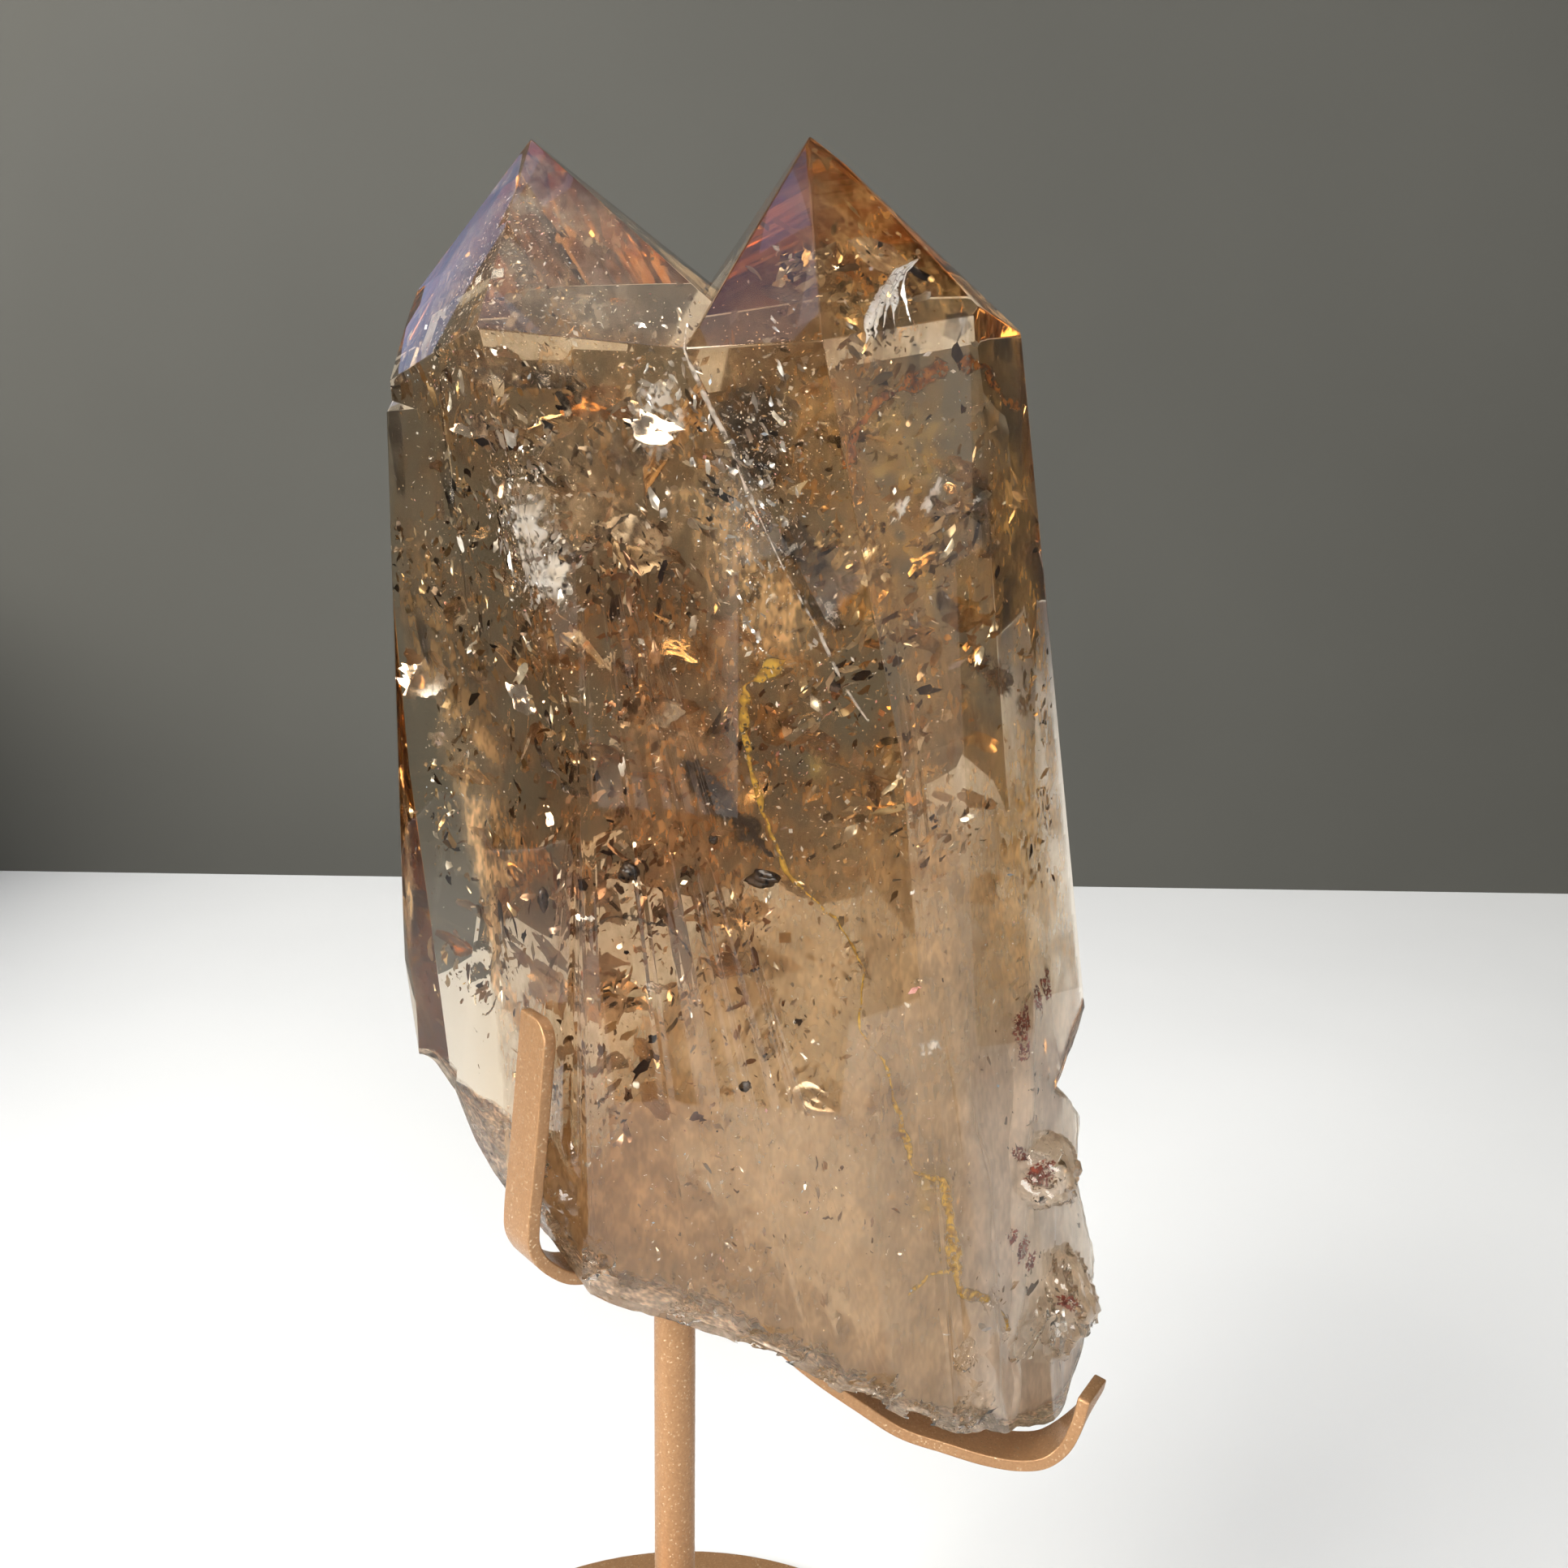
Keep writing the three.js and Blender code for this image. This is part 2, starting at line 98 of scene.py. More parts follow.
# Small dark bodies: x, y, z, half width, half height
SPECKS = [(-6.3, -20.8, 202.7, 1.6, 1.6), (16.3, -20.0, 201.6, 2.8, 1.4), (7.9, -20.4, 208.3, 0.8, 0.8),
          (-20.7, -11.7, 195.3, 1.6, 2.2), (13.7, -19.7, 164.7, 1.1, 1.0)]
HEMATITE = [(68.9, 5.1, 175.4, 2.6, 2.0), (66.6, 1.3, 173.8, 2.2, 1.8), (63.8, -3.3, 172.0, 1.8, 2.2),
            (63.2, -4.9, 169.6, 1.4, 1.5), (63.9, -3.9, 165.8, 1.2, 1.6), (63.6, -6.1, 146.4, 1.6, 1.2),
            (66.8, -7.6, 143.5, 1.4, 1.8), (68.3, -6.1, 144.2, 1.7, 1.9), (74.6, -3.4, 116.3, 1.6, 1.2),
            (62.7, -7.8, 131.0, 0.8, 1.1), (66.7, -5.3, 124.5, 0.9, 1.2), (64.9, -6.4, 127.9, 1.0, 1.9)]
# Frosty patches: x, y, z, half width, half height, turn
FROST = [(-22.4, -20.4, 258.0, 5.0, 11.0, 4), (-18.0, -20.2, 252.0, 4.0, 5.0, 20), (-1.1, -20.2, 277.0, 4.5, 6.5, 10),
         (37.2, -17.2, 262.9, 1.2, 3.4, 32), (42.3, -13.2, 264.9, 1.3, 4.2, 32), (45.2, -16.0, 171.0, 1.6, 2.0, 0)]
WHITE_BLADE = [(31.0, -19.2, 288.6), (32.2, -17.6, 292.0), (33.9, -13.6, 296.1), (36.5, -9.2, 299.7), (40.0, -5.6, 302.6)]
# Thin films, in the same terms: stained veils and blotches, and dark windows, which are painted shade standing in for
# the dark surroundings seen through the clear stone
GOLD_VEIL = [(39, -13.5, 272, 12, 8.5, 0), (38, -6, 262, 13, 26, -8), (25.2, -19.2, 220.6, 3.6, 3.0, 0), (46, -15.5, 143, 3.0, 8.0, 12),
             (70, 6.0, 258, 3.0, 16.0, 4), (69, 2.0, 205, 2.0, 10.0, 4)]
PAINTED_DARK_VIEWS = [(33.2, -14.5, 287.0, 3.2, 7.4, 4), (38.0, -11.5, 285.0, 1.4, 5.0, 2), (-46.6, 4.5, 272.0, 1.8, 11.0, -2),
                (-37.5, -6.0, 266.0, 2.6, 9.0, 4), (-20.0, -18.0, 283.0, 12.0, 2.6, 1), (15.5, -17.0, 275.0, 8.0, 11.0, -14),
                (24.0, -17.0, 252.0, 4.5, 12.0, -24), (-45.0, 2.0, 236.0, 2.0, 9.0, 0), (-6.0, -17.0, 271.0, 4.0, 3.4, 30),
                (52.0, -8.0, 262.0, 3.0, 9.0, -8), (46.0, -10.0, 292.0, 3.6, 2.4, -30), (46.0, -9.0, 245.0, 2.0, 7.0, -30)]
BLOTCH = [(55.4, -3.7, 233.3, 4.6, 4.6, 0), (51.2, -6.7, 237.1, 3.4, 3.4, 30), (60.1, 3.6, 228.5, 2.8, 4.4, 0),
          (48.5, -8.6, 232.0, 1.6, 2.2, 0)]


def shade(name):
    """New material with a bare Principled shader: (material, nodes, links, shader)."""
    material = bpy.data.materials.new(name)
    material.use_nodes = True
    tree = material.node_tree
    return material, tree.nodes, tree.links, tree.nodes["Principled BSDF"]


def node(nodes, kind, **values):
    """New node; a keyword sets a property or, where there is none, the input of that name."""
    made = nodes.new(kind)
    for key, value in values.items():
        if hasattr(made, key):
            setattr(made, key, value)
        else:
            made.inputs[key.replace("_", " ")].default_value = value
    return made


def ramp(nodes, links, source, *stops):
    """Colour ramp on a value, from (position, grey or RGB) stops."""
    made = nodes.new("ShaderNodeValToRGB")
    bar = made.color_ramp
    while len(bar.elements) < len(stops):
        bar.elements.new(0.5)
    for element, (place, colour) in zip(bar.elements, stops):
        element.position = place
        element.color = (*colour, 1) if isinstance(colour, tuple) else (colour, colour, colour, 1)
    links.new(source, made.inputs[0])
    return made.outputs[0]


def times(nodes, links, a, b):
    """Product of two values, each a socket or a number."""
    made = node(nodes, "ShaderNodeMath", operation="MULTIPLY")
    for slot, value in zip(made.inputs, (a, b)):
        if isinstance(value, (int, float)):
            slot.default_value = value
        else:
            links.new(value, slot)
    return made.outputs[0]


def noise_of(nodes, links, scale, detail=6.0, roughness=0.6, distortion=0.0):
    """Noise on object coordinates, one value."""
    place = nodes.new("ShaderNodeTexCoord")
    made = node(nodes, "ShaderNodeTexNoise", Scale=scale, Detail=detail, Roughness=roughness, Distortion=distortion)
    links.new(place.outputs["Object"], made.inputs["Vector"])
    return made.outputs["Fac"]


def specks_of(nodes, links, scale, rare, reach):
    """Tiny round specks: the middle of each cell whose random value is above a bound."""
    place = nodes.new("ShaderNodeTexCoord")
    cells = node(nodes, "ShaderNodeTexVoronoi", Scale=scale)
    links.new(place.outputs["Object"], cells.inputs["Vector"])
    grey = node(nodes, "ShaderNodeRGBToBW")
    links.new(cells.outputs["Color"], grey.inputs[0])
    chosen = ramp(nodes, links, grey.outputs[0], (rare * 0.78, 0.0), (rare * 0.8, 1.0))
    near = ramp(nodes, links, cells.outputs["Distance"], (reach * 0.7, 1.0), (reach, 0.0))
    return times(nodes, links, chosen, near)


def mix_value(nodes, links, amount, low, high):
    """Value between a number and a socket by an amount."""
    made = node(nodes, "ShaderNodeMix", data_type="FLOAT")
    links.new(amount, made.inputs[0])
    made.inputs[2].default_value = low
    links.new(high, made.inputs[3])
    return made.outputs[0]


def mix_colour(nodes, links, amount, low, high):
    """Colour between two, each a socket or four numbers, by an amount."""
    made = node(nodes, "ShaderNodeMix", data_type="RGBA")
    links.new(amount, made.inputs[0])
    for slot, value in ((made.inputs[6], low), (made.inputs[7], high)):
        if isinstance(value, tuple):
            slot.default_value = value
        else:
            links.new(value, slot)
    return made.outputs[2]


def attribute(nodes, name):
    made = nodes.new("ShaderNodeAttribute")
    made.attribute_name = name
    return made


def bump_on(nodes, links, shader, height, strength, distance):
    made = node(nodes, "ShaderNodeBump", Strength=strength, Distance=distance)
    links.new(height, made.inputs["Height"])
    links.new(made.outputs["Normal"], shader.inputs["Normal"])


def stone_finish():
    """Clear smoky quartz: polished on the facets, frosted and grainy on natural breaks, amber inside."""
    material, nodes, links, shader = shade("smoky_citrine")
    shader.inputs["Transmission Weight"].default_value = 1.0
    shader.inputs["IOR"].default_value = 1.55
    natural = attribute(nodes, "natural").outputs["Fac"]
    grain = noise_of(nodes, links, 700, 1, 0.7)
    drift = noise_of(nodes, links, 45, 1)
    wipe = ramp(nodes, links, drift, (0.4, 0.01), (0.75, 0.035))
    rough = ramp(nodes, links, grain, (0.3, 0.05), (0.7, 0.19))
    mixed = node(nodes, "ShaderNodeMix", data_type="FLOAT")
    links.new(natural, mixed.inputs[0])
    links.new(wipe, mixed.inputs[2])
    links.new(rough, mixed.inputs[3])
    links.new(mixed.outputs[0], shader.inputs["Roughness"])
    tint = node(nodes, "ShaderNodeMix", data_type="RGBA")
    links.new(natural, tint.inputs[0])
    clear = ramp(nodes, links, drift, (0.3, (0.97, 0.95, 0.93)), (0.7, (1.0, 0.99, 0.97)))
    worn = ramp(nodes, links, grain, (0.3, (0.93, 0.90, 0.86)), (0.7, (1.0, 0.99, 0.97)))
    links.new(clear, tint.inputs[6])
    links.new(worn, tint.inputs[7])
    links.new(tint.outputs[2], shader.inputs["Base Color"])
    bump_on(nodes, links, shader, times(nodes, links, grain, natural), 0.6, 0.00028)
    inside = node(nodes, "ShaderNodeVolumeAbsorption", Color=(0.88, 0.60, 0.14, 1), Density=20.0)
    links.new(inside.outputs[0], nodes["Material Output"].inputs["Volume"])
    return material


def haze_finish(name):
    """Cloudy growth inside the stone: colour and thickness from the piece's own zones, with fine breaks in both."""
    material, nodes, links, shader = shade(name)
    haze = attribute(nodes, "haze").outputs["Fac"]
    wisp = attribute(nodes, "wisp").outputs["Fac"]
    place = nodes.new("ShaderNodeTexCoord")
    drawn = node(nodes, "ShaderNodeMapping", Rotation=(0.0, math.radians(50), 0.0), Scale=(1.0, 1.0, 0.5))
    links.new(place.outputs["Object"], drawn.inputs["Vector"])
    streaks = node(nodes, "ShaderNodeTexNoise", Scale=700.0, Detail=1.0, Roughness=0.75)
    links.new(drawn.outputs[0], streaks.inputs["Vector"])
    body = mix_value(nodes, links, wisp, 1.0, ramp(nodes, links, streaks.outputs["Fac"], (0.36, 0.5), (0.64, 1.2)))
    links.new(times(nodes, links, haze, body), shader.inputs["Alpha"])
    tinted = node(nodes, "ShaderNodeMix", data_type="RGBA", blend_type="MULTIPLY")
    tinted.inputs[0].default_value = 1.0
    links.new(attribute(nodes, "zone").outputs["Color"], tinted.inputs[6])
    vary = ramp(nodes, links, streaks.outputs["Fac"], (0.36, 0.62), (0.5, 0.94), (0.64, 1.4))
    links.new(mix_value(nodes, links, wisp, 1.0, vary), tinted.inputs[7])
    links.new(tinted.outputs[2], shader.inputs["Base Color"])
    shader.inputs["Roughness"].default_value = 0.35
    shader.inputs["Specular IOR Level"].default_value = 0.0
    return material


def fleck_finish(name, metallic, roughness):
    """Small leaf of healed crack: its own tone, a little mottled, with a sheen."""
    material, nodes, links, shader = shade(name)
    sheen = ramp(nodes, links, noise_of(nodes, links, 900, 2), (0.3, 0.75), (0.7, 1.1))
    tinted = node(nodes, "ShaderNodeMix", data_type="RGBA", blend_type="MULTIPLY")
    tinted.inputs[0].default_value = 1.0
    links.new(attribute(nodes, "zone").outputs["Color"], tinted.inputs[6])
    links.new(sheen, tinted.inputs[7])
    links.new(tinted.outputs[2], shader.inputs["Base Color"])
    shader.inputs["Metallic"].default_value = metallic
    shader.inputs["Roughness"].default_value = roughness
    return material


def grown_finish(name, dark, light, scale, roughness, alpha=1.0, wisps=None, metallic=0.0):
    """Mineral grown inside the stone, or a painted dark film standing in for shade seen through it: two mottled tones,
    with a thin or wispy body where it is see-through.
    """
    material, nodes, links, shader = shade(name)
    mottle = noise_of(nodes, links, scale, 1, 0.65)
    links.new(ramp(nodes, links, mottle, (0.35, dark), (0.65, light)), shader.inputs["Base Color"])
    shader.inputs["Roughness"].default_value = roughness
    shader.inputs["Metallic"].default_value = metallic
    if wisps:
        thin = ramp(nodes, links, noise_of(nodes, links, scale * 1.7, 1, 0.75), (wisps[0], 0.0), (wisps[1], 1.0))
        edge = attribute(nodes, "haze").outputs["Fac"]
        links.new(times(nodes, links, times(nodes, links, thin, edge), alpha), shader.inputs["Alpha"])
    else:
        shader.inputs["Alpha"].default_value = alpha
    return material


def fracture_finish(name):
    """Air-filled crack: a thin mirror-like leaf, silvery where it turns to the light and dark elsewhere, crisply
    torn at its rim."""
    material, nodes, links, shader = shade(name)
    edge = attribute(nodes, "haze").outputs["Fac"]
    torn = node(nodes, "ShaderNodeMath", operation="ADD")
    links.new(edge, torn.inputs[0])
    links.new(noise_of(nodes, links, 420, 1, 0.7), torn.inputs[1])
    links.new(ramp(nodes, links, torn.outputs[0], (0.66, 0.0), (0.76, 0.85)), shader.inputs["Alpha"])
    links.new(ramp(nodes, links, noise_of(nodes, links, 200, 1), (0.3, (0.55, 0.40, 0.26)), (0.7, (0.95, 0.86, 0.74))),
              shader.inputs["Base Color"])
    shader.inputs["Metallic"].default_value = 0.9
    shader.inputs["Roughness"].default_value = 0.12
    return material


def copper_finish():
    """Copper powder coat: satin, slightly pebbled, with fine bright flakes."""
    material, nodes, links, shader = shade("copper_coat")
    place = nodes.new("ShaderNodeTexCoord")
    flakes = node(nodes, "ShaderNodeTexVoronoi", Scale=3600.0)
    links.new(place.outputs["Object"], flakes.inputs["Vector"])
    grey = node(nodes, "ShaderNodeRGBToBW")
    links.new(flakes.outputs["Color"], grey.inputs[0])
    glint = ramp(nodes, links, grey.outputs[0], (0.80, 0.0), (0.95, 0.45))
    base = ramp(nodes, links, noise_of(nodes, links, 1900, 4), (0.3, (0.31, 0.168, 0.08)), (0.7, (0.40, 0.225, 0.108)))
    colour = node(nodes, "ShaderNodeMix", data_type="RGBA")
    links.new(glint, colour.inputs[0])
    links.new(base, colour.inputs[6])
    colour.inputs[7].default_value = (1.0, 0.78, 0.50, 1)
    links.new(colour.outputs[2], shader.inputs["Base Color"])
    links.new(ramp(nodes, links, grey.outputs[0], (0.2, 0.50), (0.92, 0.26)), shader.inputs["Roughness"])
    shader.inputs["Metallic"].default_value = 0.55
    bump_on(nodes, links, shader, noise_of(nodes, links, 1500, 3), 0.25, 0.00012)
    return material


def plain_finish(name, low, high, scale, roughness):
    """Plain painted surface with a faint drift of tone."""
    material, nodes, links, shader = shade(name)
    links.new(ramp(nodes, links, noise_of(nodes, links, scale, 3), (0.3, low), (0.7, high)), shader.inputs["Base Color"])
    shader.inputs["Roughness"].default_value = roughness
    return material


def scatter(i, j, seed):
    """Repeatable random number from 0 to 1 for a grid point: the fraction of a large sine."""
    wave = np.sin(i * 127.1 + j * 311.7 + seed * 74.7) * 43758.5453
    return wave - np.floor(wave)


def noise(x, y, seed):
    """Smooth noise from -1 to 1: grid values blended along both ways with 3t squared less 2t cubed."""
    i, j = np.floor(x), np.floor(y)
    s, t = x - i, y - j
    s, t = s * s * (3 - 2 * s), t * t * (3 - 2 * t)
    low = scatter(i, j, seed) * (1 - s) + scatter(i + 1, j, seed) * s
    high = scatter(i, j + 1, seed) * (1 - s) + scatter(i + 1, j + 1, seed) * s
    return 2 * (low * (1 - t) + high * t) - 1


def smoothstep(v, low, high):
    t = np.clip((v - low) / (high - low), 0, 1)
    return t * t * (3 - 2 * t)


def facing(turn, lift):
    """Outward direction of a facet."""
    turn, lift = math.radians(turn), math.radians(lift)
    return np.array([math.sin(turn) * math.cos(lift), -math.cos(turn) * math.cos(lift), math.sin(lift)])


def break_relief(x, y, seed):
    """Relief of a natural break in mm: broad waves less ledges plus grain."""
    broad = 1.5 * noise(x / 15, y / 15, seed)
    ledge = 1.4 * np.abs(noise(x / 9 + 0.3 * broad, y / 12, seed + 1))
    return broad - ledge + 0.55 * noise(x / 4, y / 4, seed + 2)


def fine_relief(x, y, seed):
    """Shell-like ripples and grain finer than the solid's: three noises from 3 mm down to 0.7 mm."""
    steps = 0.30 * np.abs(noise(x / 2.6 + 0.8 * noise(x / 7, y / 7, seed), y / 3.4, seed + 7))
    return 0.16 * noise(x / 1.4, y / 1.4, seed + 8) - steps + 0.07 * noise(x / 0.7, y / 0.7, seed + 9)


def break_height(x, y):
    """Height of the broken base at a place: the line along X, sloped towards the back, with its relief."""
    sx = x - STONE_OFFSET
    line = np.interp(sx, *np.transpose(BREAK_LINE))
    mix = smoothstep(sx, -5, 45)
    slope = BREAK_SLOPE_LEFT * (1 - mix) + BREAK_SLOPE_RIGHT * mix
    calm = 0.35 + 0.65 * smoothstep(np.abs(y + 24), 0, 14)
    return line + slope * (y - BREAK_FRONT) + calm * break_relief(sx, y, 5)


def end_reach(y, z):
    """How far the rough right end reaches along X: its line over the height, rounded front to back, with relief."""
    reach = np.interp(z, *np.transpose(END_LINE)) - 0.012 * (y - 2) ** 2 + 0.55 * break_relief(y + 40, z, 11)
    return reach + STONE_OFFSET


def depth_inside(p):
    """Millimetres from a point to the nearest face, positive inside: the best of the crystals, less the cuts."""
    def reserve(facets):
        planes = np.array([facing(turn, lift) for turn, lift, _ in facets])
        reach = np.array([facet[2] for facet in facets])
        return (reach - (p - HEART) @ planes.T).min(-1)
    grown = np.max([reserve(crystal) for crystal in CRYSTALS], axis=0)
    below = 0.9 * (p[..., 2] - break_height(p[..., 0], p[..., 1]))
    beside = 0.9 * (end_reach(p[..., 1], p[..., 2]) - p[..., 0])
    body = np.minimum(grown, reserve(SHARED))
    for x, y, z, *half in LUMPS:
        offset = (p - (x + STONE_OFFSET, y, z)) / np.array(half)
        body = np.maximum(body, 0.9 * min(half) * (1 - np.sqrt((offset ** 2).sum(-1))))
    return np.min([body, below, beside], axis=0)


def mesh_object(name, verts, faces, smooth=True):
    """Object from an array of points in mm and an array or list of faces."""
    mesh = bpy.data.meshes.new(name)
    mesh.from_pydata((np.asarray(verts, float).reshape(-1, 3) * MM).tolist(), [], [list(map(int, f)) for f in faces])
    mesh.polygons.foreach_set("use_smooth", np.full(len(mesh.polygons), smooth))
    mesh.update()
    made = bpy.data.objects.new(name, mesh)
    bpy.context.scene.collection.objects.link(made)
    return made


def grid_faces(rows, cols, wrap=False):
    """Quads of a grid of rows by cols points, the columns joined round when wrapped."""
    i, j = np.meshgrid(np.arange(rows - 1), np.arange(cols if wrap else cols - 1), indexing="ij")
    k = (j + 1) % cols
    return np.stack([i * cols + j, i * cols + k, (i + 1) * cols + k, (i + 1) * cols + j], -1).reshape(-1, 4)


def outward(obj):
    """Merges doubled points and turns all faces outwards."""
    bm = bmesh.new()
    bm.from_mesh(obj.data)
    bmesh.ops.remove_doubles(bm, verts=bm.verts, dist=1e-7)
    bmesh.ops.recalc_face_normals(bm, faces=bm.faces)
    bm.to_mesh(obj.data)
    bm.free()
    return obj


def tube(name, rings, smooth=True):
    """Closed skin over rings of points, rows by columns by xyz, each end closed on its own middle point."""
    rows, cols, _ = rings.shape
    verts = np.concatenate([rings.reshape(-1, 3), rings[[0, -1]].mean(1)])
    j = np.arange(cols)
    k = (j + 1) % cols
    near = np.stack([np.full(cols, rows * cols), k, j], -1)
    far = np.stack([np.full(cols, rows * cols + 1), (rows - 1) * cols + j, (rows - 1) * cols + k], -1)
    faces = grid_faces(rows, cols, wrap=True).tolist() + near.tolist() + far.tolist()
    return outward(mesh_object(name, verts, faces, smooth))


def slab(name, face, far):
    """Closed block between a grid of points and its copy moved to a far plane, given as (axis, value)."""
    back = face.copy()
    back[..., far[0]] = far[1]
    rows, cols, _ = face.shape
    count = rows * cols
    front = grid_faces(rows, cols)
    at = np.arange(count).reshape(rows, cols)
    rim = np.concatenate([at[0], at[1:, -1], at[-1, -2::-1], at[-2:0:-1, 0]])
    side = np.stack([rim, np.roll(rim, -1), np.roll(rim, -1) + count, rim + count], -1)
    verts = np.concatenate([face.reshape(-1, 3), back.reshape(-1, 3)])
    return outward(mesh_object(name, verts, np.concatenate([front, front[:, ::-1] + count, side])))


def cut_crystal(name, facets, bevel=0.35):
    """Convex crystal: a block cut along each facet's plane, every edge then broken by a narrow polished bevel."""
    bm = bmesh.new()
    size = Matrix.Diagonal((0.17, 0.11, 0.29, 1))
    bmesh.ops.create_cube(bm, size=1, matrix=Matrix.Translation(HEART * MM) @ size)
    for turn, lift, reach in facets:
        normal = facing(turn, lift)
        bmesh.ops.bisect_plane(bm, geom=bm.verts[:] + bm.edges[:] + bm.faces[:], clear_outer=True,
                               plane_co=(HEART + normal * reach) * MM, plane_no=normal, dist=1e-8)
        rim = [e for e in bm.edges if e.is_boundary]
        if rim:
            bmesh.ops.edgeloop_fill(bm, edges=rim)
    bmesh.ops.remove_doubles(bm, verts=bm.verts, dist=2e-5)
    bmesh.ops.dissolve_degenerate(bm, edges=bm.edges, dist=1e-6)
    bmesh.ops.bevel(bm, geom=bm.edges[:], offset=bevel * MM, offset_type="OFFSET", segments=2, profile=0.5,
                    affect="EDGES", clamp_overlap=True)
    bmesh.ops.recalc_face_normals(bm, faces=bm.faces)
    mesh = bpy.data.meshes.new(name)
    bm.to_mesh(mesh)
    bm.free()
    made = bpy.data.objects.new(name, mesh)
    bpy.context.scene.collection.objects.link(made)
    return made


def combine(base, other, operation):
    """Joins another solid to the base or takes it away, keeps the result in the base and drops the other."""
    step = base.modifiers.new("step", "BOOLEAN")
    step.object, step.operation, step.solver = other, operation, "MANIFOLD"
    bpy.context.view_layer.update()
    result = bpy.data.meshes.new_from_object(base.evaluated_get(bpy.context.evaluated_depsgraph_get()))
    base.modifiers.clear()
    if len(result.polygons) > 3:
        base.data = result
    else:
        print("boolean step left nothing:", other.name)
    bpy.data.objects.remove(other)
    return base


def ball(name, centre, size, seed, swell, rows=40, cols=64, normal=None):
    """Knobbly ball: points of a sphere, each moved out or in by smooth noise of its direction, then scaled."""
    lat = np.linspace(0, math.pi, rows + 2)[1:-1, None]
    lon = np.linspace(0, 2 * math.pi, cols, endpoint=False)[None]
    d = np.stack([np.sin(lat) * np.cos(lon), np.sin(lat) * np.sin(lon), np.cos(lat) * np.ones_like(lon)], -1)
    out = 1 + swell * noise(2.2 * d[..., 0] + 3 * d[..., 2], 2.2 * d[..., 1] - 2 * d[..., 2], seed)
    out -= 1.3 * swell * np.abs(noise(4.3 * d[..., 0] + 3 * d[..., 2], 4.1 * d[..., 1] - 2.6 * d[..., 2], seed + 1))
    out += 0.25 * swell * noise(9 * d[..., 0] + 5 * d[..., 2], 9 * d[..., 1] - 4 * d[..., 2], seed + 1)
    p = d * out[..., None] * np.array(size)
    if normal is not None:
        turn = np.array(Matrix.Identity(3) if normal is None else
                        bpy_vector((0, 0, 1)).rotation_difference(bpy_vector(normal)).to_matrix())
        p = p @ turn.T
    return tube(name, p + np.array(centre))


def bpy_vector(v):
    from mathutils import Vector
    return Vector([float(c) for c in v])


def build_stone():
    """The grown-together stone: four cut crystals joined, lumps added, then the breaks and chips taken away."""
    stone, *others = [cut_crystal(f"cut_{k}", facets + SHARED) for k, facets in enumerate(CRYSTALS)]
    for name in ("polished", "natural"):
        mark = bpy.data.materials.get(name) or bpy.data.materials.new(name)
        for o in [stone] + others:
            o.data.materials.append(mark)
    for o in others:
        combine(stone, o, "UNION")

    def natural(o):
        for name in ("polished", "natural"):
            o.data.materials.append(bpy.data.materials[name])
        o.data.polygons.foreach_set("material_index", np.ones(len(o.data.polygons), np.int32))
        return o
    for k, (x, y, z, *half) in enumerate(LUMPS):
        combine(stone, natural(ball(f"lump_{k}", (x + STONE_OFFSET, y, z), half, 20 + k, 0.13)), "UNION")
    xs, ys = np.meshgrid(np.linspace(-71.4, 98.6, 250), np.linspace(-50, 50, 150), indexing="ij")
    top = break_height(xs, ys) + fine_relief(xs, ys, 31)
    combine(stone, natural(slab("under", np.stack([xs, ys, top], -1), (2, 30.0))), "DIFFERENCE")
    ys, zs = np.meshgrid(np.linspace(-45, 45, 130), np.linspace(60, 180, 180), indexing="ij")
    side = end_reach(ys, zs) + fine_relief(ys, zs, 47)
    combine(stone, natural(slab("beyond", np.stack([side, ys, zs], -1), (0, 150.0))), "DIFFERENCE")
    for k, (x, y, z, radius, deep, turn, lift) in enumerate(CHIPS + SMALL_CHIPS):
        normal = facing(turn, lift)
        centre = np.array([x + STONE_OFFSET, y, z]) + normal * deep
        dish = ball(f"chip_{k}", centre, (radius, radius, 2 * deep), 60 + k, 0.22, 28, 48, normal)
        combine(stone, natural(dish), "DIFFERENCE")
    mesh = stone.data
    marks = np.zeros(len(mesh.polygons), np.int32)
    mesh.polygons.foreach_get("material_index", marks)
    mesh.attributes.new("natural", "FLOAT", "FACE").data.foreach_set("value", marks.astype(np.float32))
    mesh.polygons.foreach_set("use_smooth", marks > 0)
    mesh.polygons.foreach_set("material_index", np.zeros(len(marks), np.int32))
    mesh.materials.clear()
    mesh.materials.append(stone_finish())
    mesh.update()
    mesh.set_sharp_from_angle(angle=math.radians(38))
    stone.name = "citrine_stone"
    mesh.name = "citrine_stone"
    return stone


